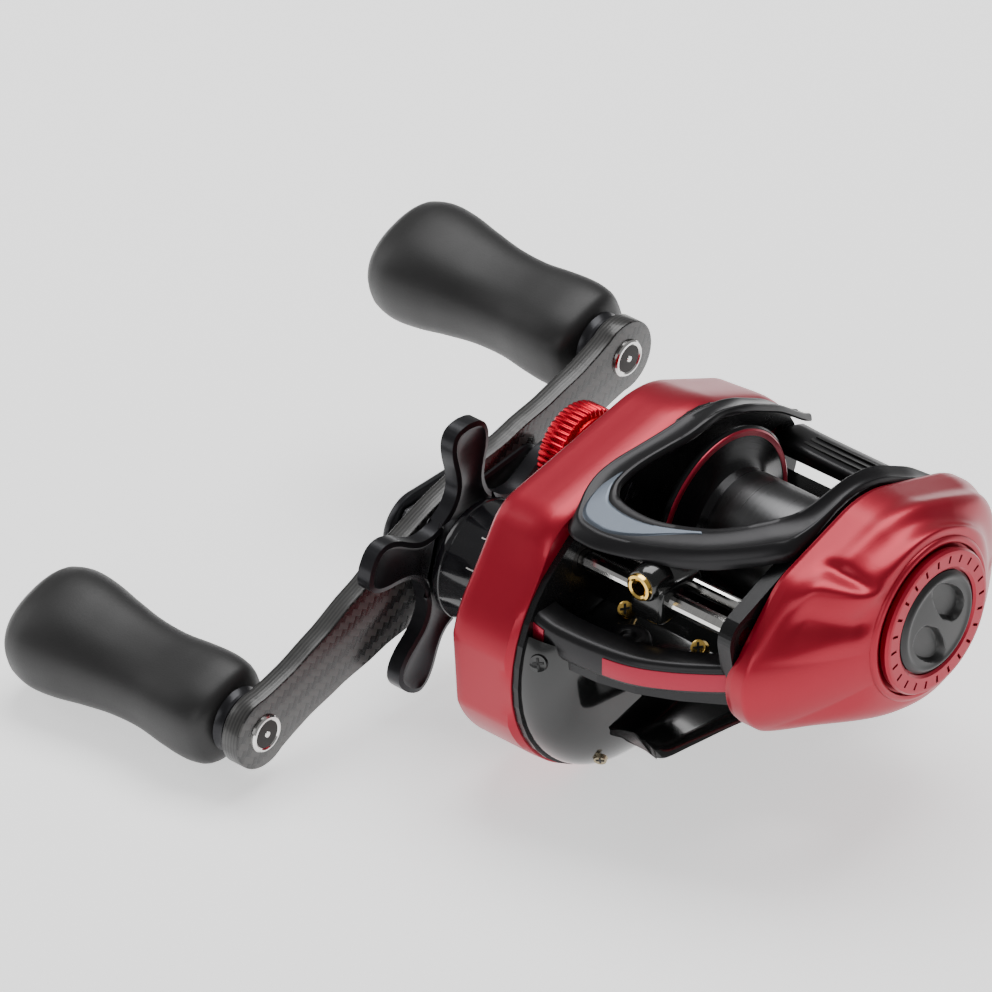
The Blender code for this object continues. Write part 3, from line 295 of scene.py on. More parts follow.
def grip_finish():
    """Soft-touch rubber skin over foam: dull, faintly dusty, with a fine pebble."""
    f = Finish("soft_grip", (0.014, 0.0135, 0.014), 0.50, 0.0, Sheen_Weight=0.06,
               Sheen_Roughness=0.45)
    pebble = f.add("TexVoronoi", {"feature": "F1"}, {"Vector": f.point, "Scale": 3600.0})
    cloud = f.noise(70.0, 4.0)
    f.put("Base Color", f.blend(cloud, (0.0045, 0.0044, 0.0046, 1), (0.0095, 0.0090, 0.0092, 1)))
    f.put("Roughness", cloud * 0.14 + pebble * 0.06 + 0.40)
    f.bump(pebble * 0.6 + f.noise(2400.0, 2.0) * 0.4, 0.16, 0.00006)
    FINISHES["soft_grip"] = f.made


WEAVE_CELL = 1.15  # width of one tow of the cloth
FACE_DEPTH = 0.22  # how far the cloth of a face reaches round its edge


def carbon_finish():
    """Twill carbon cloth under resin on the faces, with painted sheen on its tows, and its laminate
    layers along the edges.
    """
    f = Finish("carbon_weave", (0.03, 0.03, 0.03), 0.3, 0.15, Coat_Weight=0.35,
               Coat_Roughness=0.16)
    x, y, z, _ = f.about(DRIVE, HANDLE_TILT + math.radians(45))
    u, v = y / WEAVE_CELL, z / WEAVE_CELL
    column, row = u.floor(), v.floor()
    over = ((column + row) % 4.0) < 1.5
    fu, fv = u - column - 0.5, v - row - 0.5
    bulge_warp = 1.0 - (fu * fu) * 4.0
    bulge_weft = 1.0 - (fv * fv) * 4.0
    thread_a = (fu * 28.0).sine() * 0.10 + bulge_warp
    thread_b = (fv * 28.0).sine() * 0.10 + bulge_weft
    height = over * thread_a + (1.0 - over) * thread_b
    low, high = span("handle_arm")
    face = ((x - low).absolute() < FACE_DEPTH).larger((x - high).absolute() < FACE_DEPTH)
    layer = ((x * 10.5).sine() * 0.5 + 0.5) * 0.7 + f.noise(700.0, 2.0) * 0.3
    # Painted sheen: the tows on top are painted lighter than those beneath, and each thread lighter
    # at its crown (a painted highlight), standing in for the light the fibres catch.
    light = over * 0.75 + height * 0.2
    f.put("Base Color", f.blend(face * light + (1.0 - face) * layer * 0.8,
                                (0.008, 0.008, 0.008, 1), (0.05, 0.048, 0.046, 1)))
    f.put("Roughness", over * 0.10 + f.noise(400.0, 2.0) * 0.12 + (1.0 - face) * 0.12 + 0.20)
    f.bump(face * height * 0.6 + (1.0 - face) * layer, 0.22, 0.00012)
    FINISHES["carbon_weave"] = f.made


grip_finish()
carbon_finish()


def moulded(name, colour, roughness, grain=500.0):
    f = Finish(name, colour, roughness)
    speck = f.noise(grain, 4.0)
    f.put("Base Color", f.blend(speck, tint(colour, 0.85), tint(colour, 1.15)))
    f.put("Roughness", speck * 0.2 + (roughness - 0.1))
    f.bump(speck, 0.15, 0.0001)
    FINISHES[name] = f.made


moulded("nylon", (0.55, 0.54, 0.50), 0.5)
moulded("fibre", (0.035, 0.034, 0.033), 0.75, 2200.0)
# Painted shade: near black, laid as bars on the screw heads where the cross recesses would be dark.
moulded("painted_recess_shade", (0.006, 0.006, 0.006), 0.4)

CAD_FINISHES = {
    "frame_black": ("main_frame", "brake_housing"),
    "satin_black": ("clutch_cam",),
    "steel": ("one_way_bearing", "drive_shaft_bearing", "spool_bearing_handle",
              "spool_bearing_palm", "pinion_bearing", "drive_shaft", "clutch_sleeve",
              "spring_washer", "clutch_yoke", "yoke_spring_front", "yoke_spring_rear",
              "ratchet_wheel", "drag_key_washer", "drag_pressure_plate", "brake_inductor",
              "spool_pin", "spool_shaft", "handle_nut", "cover_screw_1", "cover_screw_2",
              "cover_screw_3", "knob_spindle_front", "knob_spindle_rear"),
    "bright_steel": ("worm_shaft", "guide_bar"),
    "brass": ("drive_gear", "pinion_gear", "pawl", "tension_shim"),
    "rivet_dark": ("worm_bushing_left", "worm_bushing_right"),
    "nylon": ("level_drive_gear", "worm_gear"),
    "fibre": ("drag_washer_inner", "drag_washer_outer"),
    "magnet_grey": ("magnet_ring",),
}
for look, names in CAD_FINISHES.items():
    for name in names:
        for index in range(len(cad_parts[name].data.materials)):
            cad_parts[name].data.materials[index] = FINISHES[look]


# ---- making pieces -----------------------------------------------------------------------
def piece(name, bm, look, body, replaced=(), sharp=32, doubles=0.000004):
    """Finish a bmesh as a piece that rides on a body and stands for CAD nodes."""
    bmesh.ops.remove_doubles(bm, verts=bm.verts, dist=doubles)
    bmesh.ops.dissolve_degenerate(bm, edges=bm.edges, dist=doubles / 2)
    bmesh.ops.recalc_face_normals(bm, faces=bm.faces)
    mesh = bpy.data.meshes.new(name)
    bm.to_mesh(mesh)
    bm.free()
    mesh.materials.append(FINISHES[look])
    mesh.shade_smooth()
    mesh.set_sharp_from_angle(angle=math.radians(sharp))
    made = bpy.data.objects.new(name, mesh)
    bpy.context.scene.collection.objects.link(made)
    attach(made, body)
    if replaced:
        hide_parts(*replaced)
    return made


def sheet(across, along, where, closed=False, ends=False):
    """A grid of faces whose points are sent to where(u, v), with u and v from 0 to 1."""
    bm = bmesh.new()
    bmesh.ops.create_grid(bm, x_segments=across, y_segments=along, size=0.5)
    for vert in bm.verts:
        vert.co = place(*where(min(max(vert.co.x + 0.5, 0), 1), min(max(vert.co.y + 0.5, 0), 1)))
    if closed:
        bmesh.ops.remove_doubles(bm, verts=bm.verts, dist=0.000002)
    if ends:
        rims = [edge for edge in bm.edges if edge.is_boundary]
        bmesh.ops.holes_fill(bm, edges=rims, sides=0)
    return bm


def soften(bm, width, segments=2, angle=28):
    """Round every edge that is sharper than an angle."""
    bmesh.ops.recalc_face_normals(bm, faces=bm.faces)
    edges = [e for e in bm.edges if e.is_manifold and e.calc_face_angle(0) > math.radians(angle)]
    bmesh.ops.bevel(bm, geom=edges, offset=width * MM, offset_type="OFFSET", affect="EDGES",
                    segments=segments, profile=0.5, material=-1, clamp_overlap=True)
    return bm


def lathe(profile, centre=(0.0, 0.0), steps=96, round_by=0.0, axis=(1, 0, 0), at_x=0.0):
    """Spin a profile of (along, radius) points round an axis, and round its corners."""
    bm = bmesh.new()
    direction = Vector(axis)
    side = Vector((0, 0, 1)) if direction.x or direction.y else Vector((0, 1, 0))
    start = place(at_x, *centre)
    verts = [bm.verts.new(start + (direction * a + side * r) * MM) for a, r in profile]
    edges = [bm.edges.new(pair) for pair in zip(verts, verts[1:])]
    bmesh.ops.spin(bm, geom=verts + edges, cent=start, axis=direction, angle=2 * math.pi,
                   steps=steps, use_merge=True)
    bmesh.ops.remove_doubles(bm, verts=bm.verts, dist=0.000002)
    if round_by:
        soften(bm, round_by)
    return bm


def slab(outline, low, high):
    """Raise a flat outline of (y, z) points from x low to x high."""
    bm = bmesh.new()
    verts = [bm.verts.new(place(low, y, z)) for y, z in outline]
    face = bm.faces.new(verts)
    lifted = bmesh.ops.extrude_face_region(bm, geom=[face])["geom"]
    moved = [g for g in lifted if isinstance(g, bmesh.types.BMVert)]
    bmesh.ops.translate(bm, verts=moved, vec=((high - low) * MM, 0, 0))
    return bm


def smooth_line(points, share):
    """A point on the smooth curve through points, with share from 0 to 1."""
    t = min(max(share, 0.0), 1.0) * (len(points) - 1)
    i = min(int(t), len(points) - 2)
    t -= i
    p = [Vector(points[min(max(i + k, 0), len(points) - 1)]) for k in (-1, 0, 1, 2)]
    return (p[1] * 2 + (p[2] - p[0]) * t + (p[0] * 2 - p[1] * 5 + p[2] * 4 - p[3]) * t * t
            + (p[1] * 3 - p[0] - p[2] * 3 + p[3]) * t ** 3) / 2


def belt(circles, share, inset=0.0):
    """A point on the belt stretched round circles of (y, z, radius), at a share of a turn."""
    c, s = math.cos(2 * math.pi * share), math.sin(2 * math.pi * share)
    y, z, r = max(circles, key=lambda k: k[0] * c + k[1] * s + k[2])
    return (y + (r - inset) * c, z + (r - inset) * s)


def even_loop(circles, count):
    """The belt's outline as evenly spaced (y, z) points, counted from the rear."""
    dense = [Vector(belt(circles, i / 1440)) for i in range(1440)]
    lengths = [0.0]
    for i in range(1440):
        lengths.append(lengths[-1] + (dense[(i + 1) % 1440] - dense[i]).length)
    points, k = [], 0
    for i in range(count):
        target = lengths[-1] * i / count
        while lengths[k + 1] < target:
            k += 1
        t = (target - lengths[k]) / max(lengths[k + 1] - lengths[k], 1e-9)
        points.append(dense[k].lerp(dense[(k + 1) % 1440], t))
    return points


def loop_normals(points):
    count = len(points)
    result = []
    for i in range(count):
        run = points[(i + 1) % count] - points[i - 1]
        result.append(Vector((run.y, -run.x)).normalized())
    return result


def skin(outline, sections, caps=True):
    """Skin stations of (x, inset) or (x, inset function) over an outline of (y, z) points."""
    normals = loop_normals(outline)
    count, rows = len(outline), len(sections)

    def where(u, v):
        i, k = round(u * count) % count, round(v * (rows - 1))
        x, inset = sections[k]
        if callable(inset):
            inset = inset(outline[i], i / count)
        p = outline[i] - normals[i] * inset
        if callable(x):
            x = x(outline[i], i / count)
        return (x, p.x, p.y)

    return sheet(count, rows - 1, where, closed=True, ends=caps)


# ---- handle side cover -------------------------------------------------------------------
COVER = [(0.0, 0.0, 16.8), (*DRIVE, 24.15), (*WORM, 8.5), (14.0, -1.0, 11.9)]
cover_open = span("handle_side_cover")[1]
cover_face = span("drive_shaft_collar")[1] + 0.3
cover_edge = cover_open + 1.9
cover_line = even_loop(COVER, 240)


FACET_MIDDLE, FACET_HALF, FACET_FADE = 184.0, 15.0, 34.0  # degrees round the drive axis


def facet(point):
    """The flat across the front of the cover, with a corner along each of its edges."""
    turn = math.degrees(math.atan2(point.y - DRIVE[1], point.x - DRIVE[0])) % 360
    off = abs(turn - FACET_MIDDLE)
    corner = 1 / math.cos(math.radians(min(off, FACET_HALF))) - 1
    fade = 1 - ease(off, FACET_HALF, FACET_HALF + FACET_FADE)
    return -24.0 * corner * fade


def flare(point):
    """The top of the cover rises to meet the hood."""
    return -0.75 * ease(point.y, 3.0, 11.0)


def band(share):
    """Inset of the broad band round the cover, with the flare fading toward its face."""
    return lambda p, _: facet(p) + flare(p) * share


cover_sections = [
    (cover_edge, 1.5), (cover_edge, 0.12), (cover_edge - 0.12, 0.0),
    (cover_edge - 1.0, band(0.7)), (cover_edge - 2.6, band(1.0)), (cover_edge - 5.0, band(0.8)),
    (cover_edge - 7.6, band(0.45)), (cover_face + 2.6, band(0.12)), (cover_face + 1.3, band(0.0)),
    (cover_face + 0.9, lambda p, _: facet(p) + 0.12),
    (cover_face + 0.25, lambda p, _: facet(p) + 0.75),
    (cover_face + 0.05, 2.2), (cover_face, 3.0), (cover_face, 5.0),
    (cover_face + 0.35, 5.25), (cover_face + 0.35, 5.6), (cover_face, 5.85), (cover_face, 9.5),
]
piece("cover_shell", skin(cover_line, cover_sections), "red_paint", "frame",
      ("handle_side_cover",), 24)
piece("collar_seat", lathe([(cover_face + 1.0, 10.0), (cover_face + 1.0, 12.8),
                            (cover_face - 0.02, 12.5), (cover_face - 0.22, 11.6),
                            (cover_face - 0.22, 10.8), (cover_face + 1.0, 10.4)], DRIVE, 96),
      "red_paint", "frame")
tube_low = span("cast_control_cap")[0] + 3.7
piece("cast_tube", lathe([(cover_face + 1.5, 2.0), (cover_face + 1.5, 4.95), (tube_low, 4.95),
                          (tube_low, 3.75), (tube_low + 2.5, 3.75), (tube_low + 2.5, 2.0)],
                         steps=64), "anodised_red", "frame")

# ---- hood --------------------------------------------------------------------------------
HOOD_RADIUS = 19.25


def over_spool(y, radius=HOOD_RADIUS):
    """Height of the hood's skin at y, round the spool and straight on at both ends."""
    front, rear = math.radians(105), math.radians(62)
    y1, y0 = radius * math.cos(front), radius * math.cos(rear)
    if y < y1:
        return radius * math.sin(front) - (y - y1) / math.tan(front)
    if y > y0:
        return radius * math.sin(rear) - (y - y0) / math.tan(rear)
    return math.sqrt(radius * radius - y * y)


# Matching places along the band, (x, y) on its outer edge and on its inner edge.
HOOD_OUTER = [
    (-17.6, 24.5), (-17.8, 20.5), (-17.7, 15.7), (-17.3, 10.1), (-17.2, 4.4), (-17.4, 0.3),
    (-18.2, -4.0), (-19.3, -8.2), (-20.5, -12.4), (-21.6, -16.3), (-21.9, -19.8), (-21.2, -23.4),
    (-19.6, -27.2), (-17.4, -30.8), (-13.2, -31.6), (-9.2, -31.1), (-5.0, -29.9), (-1.0, -28.4),
    (3.6, -26.3), (7.4, -24.1), (11.4, -21.2), (14.4, -18.6), (16.0, -16.4), (16.2, -12.6),
    (16.2, -7.9), (16.2, -2.7), (16.2, 3.4), (16.2, 9.5), (16.2, 15.6), (16.2, 20.5), (16.2, 24.5),
]
HOOD_INNER = [
    (-13.6, 24.5), (-12.9, 20.5), (-12.3, 14.0), (-12.0, 8.3), (-12.2, 4.6), (-12.8, 1.2),
    (-12.8, -2.2), (-13.1, -5.6), (-14.4, -9.6), (-15.6, -13.4), (-16.2, -16.6), (-16.2, -18.9),
    (-15.8, -20.2), (-14.6, -21.5), (-12.4, -22.3), (-9.2, -22.7), (-6.1, -22.6), (-3.0, -21.9),
    (0.2, -20.8), (2.9, -19.6), (5.8, -17.4), (8.2, -15.0), (10.0, -13.0), (11.9, -10.6),
    (12.9, -7.7), (13.4, -4.0), (13.6, 0.0), (13.6, 5.0), (13.5, 10.5), (13.4, 17.5), (13.4, 24.5),
]
# Across the band: share of its width, height over the skin, and depth below for the underside.
HOOD_SECTION = [
    (0.02, -2.9), (0.0, -2.2), (0.0, -1.3), (0.035, -0.75), (0.10, -0.35), (0.15, 0.0),
    (0.20, 0.12), (0.25, 0.02), (0.29, -0.10), (0.5, -0.14), (0.74, -0.10), (0.80, 0.05),
    (0.86, 0.16), (0.93, 0.02), (0.98, -0.35), (1.0, -0.95), (0.97, -1.35), (0.5, -1.05),
    (0.16, -1.15), (0.10, -2.0),
]


def hood_place(u, share, rise):
    outer, inner = smooth_line(HOOD_OUTER, u), smooth_line(HOOD_INNER, u)
    flat = outer.lerp(inner, share)
    arm = ease(u, 0.70, 0.80)
    low_rear = ease(flat.y, 14.0, 24.0)
    slant = arm * (1 - share) * 1.9
    left = (1 - ease(u, 0.30, 0.42)) * (1 - share) * 0.5
    return (flat.x, flat.y, over_spool(flat.y) + rise - slant - left - low_rear * 1.7)


def hood_where(u, v):
    count = len(HOOD_SECTION)
    t = v * count
    k = round(t) % count
    share, rise = HOOD_SECTION[k]
    if rise < -1.5:
        rise *= mix(0.60, 1.0, ease(u, 0.50, 0.64))
    return hood_place(u, share, rise)


piece("hood_shell", soften(sheet(150, len(HOOD_SECTION), hood_where, closed=True, ends=True),
                           0.10, 1, 40), "satin_black", "frame", ("front_hood",), 30)


def inlay_where(u, v):
    """A crescent that fills the hood's front corner and runs out along the lip."""
    t = mix(0.335, 0.615, u)
    width = min(ease(u, -0.05, 0.30), 1 - 0.93 * ease(u, 0.48, 1.0))
    share = mix(mix(0.78, 0.27, width), 0.80, v)
    edge = 0.12 if 0.04 < v < 0.96 and 0.01 < u < 0.99 else -0.12
    return hood_place(t, share, edge)


piece("hood_crescent", sheet(90, 12, inlay_where), "inlay_grey", "frame", ("hood_inlay",), 60)

# ---- palm side plate ---------------------------------------------------------------------
palm_open = span("palm_side_plate")[0]
dial_low, dial_high = span("brake_dial")
palm_face = dial_high - 1.9
PALM = [(0.0, -0.6, 17.8), (-20.6, -4.2, 10.7), (14.6, 0.2, 12.6), (-15.4, 3.2, 9.4)]
PALM_POINTS = 288
PALM_WALL = 2.6  # the straight wall beside the frame
PALM_FLANGE = 3.6  # the flat rim that closes on the frame
palm_line = even_loop(PALM, PALM_POINTS)
SEAT_RADIUS = 13.6


def palm_where(u, v):
    rim = palm_line[round(u * PALM_POINTS) % PALM_POINTS]
    angle = math.atan2(rim.y, rim.x)
    degrees = math.degrees(angle) % 360
    reach = rim.length
    wall = 0.16
    if v < 0.01:
        return (palm_open + 0.1, rim.x * (1 - PALM_FLANGE / reach),
                rim.y * (1 - PALM_FLANGE / reach))
    if v < wall:
        k = v / wall
        inset = 0.25 * (1 - k) if k < 0.3 else 0.0
        low_front = ease(-rim.x, 17.0, 24.0) * (1 - ease(rim.y, -3.0, 2.0))
        return (mix(palm_open - 1.5 * low_front, palm_open + PALM_WALL, k),
                rim.x * (1 - inset / reach), rim.y * (1 - inset / reach))
    s = (v - wall) / (1 - wall)
    bend = math.sin(s * math.pi / 2)
    far = min(max((reach - 18.0) / 12.0, 0.0), 1.0)
    # a long nose slopes evenly, the short sides turn over quickly
    radial = mix(s, s ** 2.3, 1 - far * 0.85)
    rise = mix(s ** 0.85, bend ** 0.8, 1 - far)
    radius = mix(reach, SEAT_RADIUS, radial)
    x = mix(palm_open + PALM_WALL, palm_face, rise)
    # the flutes carved between the rim and the dial
    front = hill(degrees, 163, 24)
    top = hill(degrees, 100, 48)
    rear = hill(degrees, 40, 38)
    flute = -1.5 * front * hill(degrees, 166 - 9 * s, 8.5) * ease(s, 0.02, 0.3)
    flute += 0.9 * hill(degrees, 150 - 12 * s, 5.5) * ease(s, 0.0, 0.2)
    spike = hill(degrees, 137 + 4 * s, 4.2) * ease(s, 0.02, 0.2)
    flute -= 1.1 * spike * (1 - ease(s, 0.55, 0.85))
    wave = math.sin((s * 1.55 + (degrees - 100) / 260) * 2 * math.pi)
    flute += 0.75 * wave * (top * 0.7 + rear) * ease(s, 0.08, 0.3)
    lobes = hill(degrees, 262, 16) * -0.8 * (1 - s)
    fade = 1 - ease(s, 0.78, 1.0)
    radius += (flute * 0.8 + lobes) * fade
    x += flute * 0.55 * fade
    return (x, radius * math.cos(angle), radius * math.sin(angle))


bm = sheet(PALM_POINTS, 56, palm_where, closed=True)
bmesh.ops.solidify(bm, geom=bm.faces[:], thickness=0.001)
piece("palm_shell", bm, "red_paint", "palm_cover", ("palm_side_plate",), 40)
piece("dial_surround",
      lathe([(palm_face - 1.6, 13.3), (palm_face - 0.3, 14.2), (palm_face + 0.35, 14.0),
             (palm_face + 0.6, 13.5), (palm_face + 0.5, 12.95), (palm_face - 0.35, 12.8),
             (palm_face - 0.35, 3.15), (palm_face - 1.6, 3.15)], steps=128, round_by=0.12),
      "red_paint", "palm_cover")

# ---- brake dial --------------------------------------------------------------------------
CAP_RADIUS = 8.8
DIAL_STEPS = 144
TICK_EVERY = 6
bm = lathe([(dial_low + 3.0, 2.95), (palm_face + 0.25, 2.95), (palm_face + 0.25, 12.2),
            (dial_high - 0.55, 12.45), (dial_high - 0.1, 12.15), (dial_high, 11.8),
            (dial_high, 11.5), (dial_high, 10.2), (dial_high, 9.5), (dial_high - 0.3, 9.05),
            (dial_high - 0.95, 9.0), (dial_high - 0.95, 1.0)], steps=DIAL_STEPS)
bmesh.ops.recalc_face_normals(bm, faces=bm.faces)
pockets = []
for face in bm.faces:
    middle = face.calc_center_median() * 1000 - SPOOL_AXIS
    radius = math.hypot(middle.y, middle.z)
    turn = math.degrees(math.atan2(middle.z, middle.y)) % 360
    if 10.3 < radius < 11.4 and int(turn * DIAL_STEPS / 360) % TICK_EVERY == 0:
        pockets.append(face)
bmesh.ops.inset_individual(bm, faces=pockets, thickness=0.00004, depth=-0.00045)
piece("dial_ring", bm, "red_paint", "brake_dial", ("brake_dial",), 30)


def cap_height(y, z):
    """A shallow dome with two teardrop pockets either side of an S-shaped rib."""
    radius = math.hypot(y, z)
    height = 0.55 - 0.45 * (radius / CAP_RADIUS) ** 2
    height += 0.30 * hill(radius, 7.9, 0.45)
    turn = math.radians(-50)
    a, b = (y * math.cos(turn) + z * math.sin(turn), -y * math.sin(turn) + z * math.cos(turn))
    rib = 2.2 * math.sin(a * 0.62)
    for sign in (1, -1):
        u, w = a * sign, (b * sign - 3.6)
        long_side = 4.9 - 0.22 * u
        d = (u / long_side) ** 2 + (w / 2.7) ** 2
        near = ease(abs(b - rib * 0.35), 0.4, 1.3)
        height -= 1.25 * (1 - ease(d, 0.72, 1.05)) * near
    return height


def cap_where(u, v):
    angle, radius = u * 2 * math.pi, max(v, 0.0005) * CAP_RADIUS
    y, z = radius * math.cos(angle), radius * math.sin(angle)
    return (dial_high - 0.15 + cap_height(y, z) - 0.3 * ease(v, 0.94, 1.0), y, z)


bm = sheet(144, 44, cap_where, closed=True)
rim = [e for e in bm.edges if e.is_boundary]
skirt = [g for g in bmesh.ops.extrude_edge_only(bm, edges=rim)["geom"]
         if isinstance(g, bmesh.types.BMVert)]
bmesh.ops.translate(bm, verts=skirt, vec=(-0.0006, 0, 0))
bmesh.ops.holes_fill(bm, edges=[e for e in bm.edges if e.is_boundary], sides=0)
piece("dial_cap", bm, "cap_black", "brake_dial", ("brake_cap",), 40)

# ---- nose bar and gear case --------------------------------------------------------------
NOSE_EDGE = [(-19.9, -37.2, 1.6), (-18.6, -38.6, -0.6), (-15.5, -38.9, -1.6), (-12.0, -38.9, -2.0),
             (-6.0, -38.4, -2.2), (1.0, -37.0, -2.3), (7.0, -34.2, -2.2), (13.2, -30.2, -1.9),
             (16.1, -28.0, -1.6)]
NOSE_SECTION = [(4.9, 0.1), (1.0, 0.15), (0.35, 0.0), (-0.15, -0.45), (-0.35, -1.0), (-0.35, -4.4),
                (-0.1, -4.9), (0.5, -5.3), (4.9, -7.2)]


def nose_where(first, last, proud=0.0, section=NOSE_SECTION):
    def where(u, v):
        count = len(section)
        k = round(v * count) % count
        back, up = section[k]
        x, y, z = smooth_line(NOSE_EDGE, mix(first, last, u))
        return (x, y + back - proud, z + up)

    return where


piece("nose_lip", soften(sheet(60, len(NOSE_SECTION), nose_where(0.0, 1.0), closed=True, ends=True),
                         0.12, 2, 35), "satin_black", "frame", (), 35)
ACCENT = [(0.2, -1.15), (-0.5, -1.15), (-0.56, -1.3), (-0.56, -4.2), (-0.5, -4.35), (0.2, -4.35)]
for name, first, last in (("left", 0.03, 0.27), ("right", 0.545, 0.985)):
    piece(f"nose_accent_{name}",
          sheet(30, len(ACCENT), nose_where(first, last, 0.0, ACCENT), closed=True, ends=True),
          "accent_red", "frame", (), 35)

case_low, case_high = span("gear_case")
CASE_RADIUS = 23.3
CASE_ROUND = 9.5


def case_where(u, v):
    """A glossy bulge round the drive axis, drawn in as it runs to its right-hand edge."""
    angle = math.radians(mix(157, 268, u))
    if v <= 0.8:
        t = v / 0.8 * math.pi / 2
        x = mix(case_low - 0.3, case_high, math.sin(t))
        radius = CASE_RADIUS - CASE_ROUND * (1 - math.cos(t)) ** 1.1
    else:
        x, radius = case_high, mix(CASE_RADIUS - CASE_ROUND, 8.0, (v - 0.8) / 0.2)
    lift = ease(u, 0.62, 1.0) * 1.5 * math.sin(min(v / 0.8, 1.0) * math.pi / 2)
    return (x, DRIVE[0] + radius * math.cos(angle), DRIVE[1] + radius * math.sin(angle) + lift)


bm = sheet(72, 30, case_where)
bmesh.ops.holes_fill(bm, edges=[e for e in bm.edges if e.is_boundary], sides=0)
bmesh.ops.triangulate(bm, faces=[f for f in bm.faces if len(f.verts) > 8])
piece("case_half", bm, "case_black", "frame", ("gear_case",), 40)


def screw(name, x, y, z, normal, radius, look, body="frame", cross=True):
    """A small pan-head screw with a cross recess, seen from along its axis; the recess is two
    near-black bars on the head, painted shade.
    """
    direction = Vector(normal).normalized()
    bm = bmesh.new()
    bmesh.ops.create_cone(bm, cap_ends=True, segments=32, radius1=radius, radius2=radius * 0.86,
                          depth=radius * 0.6)
    soften(bm, radius * 0.12)
    top = max(bm.faces, key=lambda f: f.calc_center_median().z * f.calc_area())
    bmesh.ops.inset_region(bm, faces=[top], thickness=radius * 0.16, depth=-radius * 0.05)
    bmesh.ops.transform(bm, verts=bm.verts, matrix=Matrix.Scale(MM, 4))
    turn = Vector((0, 0, 1)).rotation_difference(direction).to_matrix().to_4x4()
    spot = Matrix.Translation(place(x, y, z))
    bmesh.ops.transform(bm, verts=bm.verts, matrix=spot @ turn)
    piece(name, bm, look, body, (), 30)
    if not cross:
        return
    # The cross recess: two near-black bars standing on the head, painted shade in place of a sunk
    # recess.
    for index, angle in enumerate((35, 125)):
        bar = bmesh.new()
        bmesh.ops.create_cube(bar, size=1.0)
        bmesh.ops.scale(bar, verts=bar.verts, vec=(radius * 1.15, radius * 0.26, radius * 0.2))
        bmesh.ops.translate(bar, verts=bar.verts, vec=(0, 0, radius * 0.235))
        bmesh.ops.transform(bar, verts=bar.verts, matrix=Matrix.Scale(MM, 4) @
                            Matrix.Rotation(math.radians(angle), 4, "Z"))
        bmesh.ops.transform(bar, verts=bar.verts, matrix=spot @ turn)
        soften(bar, 0.04, 1)
        piece(f"{name}_shade_bar_{index + 1}", bar, "painted_recess_shade", body, (), 30)


screw("case_screw_upper", -14.3, -41.3, -7.8, (0.35, -0.9, 0.25), 1.6, "case_black")
screw("case_screw_lower", -10.6, -30.6, -30.2, (0.5, -0.8, -0.4), 1.2, "screw_steel")
screw("floor_screw_left", -12.0, -23.0, -5.9, (0.1, -0.8, 0.8), 1.5, "gold_ring")
screw("floor_screw_right", 3.2, -23.0, -6.4, (0.1, -0.8, 0.8), 1.5, "gold_ring")

# The shelf that closes the bottom of the bay behind the nose bar, and the boss that stands on it.
SHELF = [(-35.6, -5.0), (-31.0, -6.2), (-26.0, -7.4), (-22.0, -6.8), (-19.2, -4.2), (-18.4, -4.6),
         (-20.6, -8.4), (-26.0, -8.6), (-31.0, -7.6), (-35.6, -6.4)]


def shelf_where(u, v):
    y, z = SHELF[round(v * len(SHELF)) % len(SHELF)]
    back = 6.5 * ease(u, 0.45, 1.0) if y < -30 else 0.0
    return (mix(-17.2, 13.6, u), y + back, z)


piece("bay_shelf", soften(sheet(24, len(SHELF), shelf_where, closed=True, ends=True), 0.3, 2, 30),
      "case_black", "frame", (), 40)
piece("shelf_boss", lathe([(-1.5, 3.9), (1.4, 3.9), (2.2, 3.5), (2.6, 2.6), (2.6, 1.2), (2.0, 0.9),
                           (2.0, 0.0)], (-29.0, -7.6), 64, 0.15, (0, 0, 1), -6.4),
      "satin_black", "frame", (), 40)

# ---- foot --------------------------------------------------------------------------------
FOOT_HALF = [(-31.0, 4.8), (-29.5, 5.9), (-24.0, 6.7), (-14.0, 8.2), (-6.0, 10.4), (0.0, 11.0),
             (6.0, 10.4), (14.0, 8.2), (24.0, 6.7), (29.5, 5.9), (31.0, 4.8)]


def foot_where(u, v):
    y, half = smooth_line(FOOT_HALF, u)
    t = v * 2
    side = (t * 2 - 1) if t <= 1 else (3 - t * 2)
    x = half * side
    drop = 1.3 * half / 11.0 * max(abs(side) * half - 2.5, 0) / max(half - 2.5, 0.1)
    thick = mix(2.1, 0.95, abs(side) ** 1.4)
    z = -drop if t <= 1 else -drop + thick
    return (x, y - 4.0, z - 20.0)


piece("foot_plate", soften(sheet(64, 28, foot_where, closed=True, ends=True), 0.2, 2, 40),
      "case_black", "frame", ("reel_foot",), 35)

# ---- level wind --------------------------------------------------------------------------
guide_low, guide_high = span("line_guide")
guide_x = (guide_low + guide_high) / 2
EYE = (WORM[0] - 3.2, WORM[1] + 3.8)
HOUSING_FORWARD = 1.4
SADDLE = [(-3.2, -2.9), (-3.3, 1.0), (-2.6, 3.0), (0.0, 3.3), (3.2, 3.2), (6.2, 3.0),
          (7.0, 2.0), (7.0, -1.2), (5.8, -2.6), (3.0, -3.2), (-1.0, -3.2), (-2.6, -3.2)]


def guide_where(u, v):
    """The carriage: a smooth saddle over the worm, drawn up to the eye in front."""
    y, z = SADDLE[round(v * len(SADDLE)) % len(SADDLE)]
    edge = ease(abs(u * 2 - 1), 0.82, 1.0)
    return (mix(guide_low, guide_high, u), WORM[0] + y * (1 - 0.07 * edge),
            WORM[1] + z * (1 - 0.10 * edge))


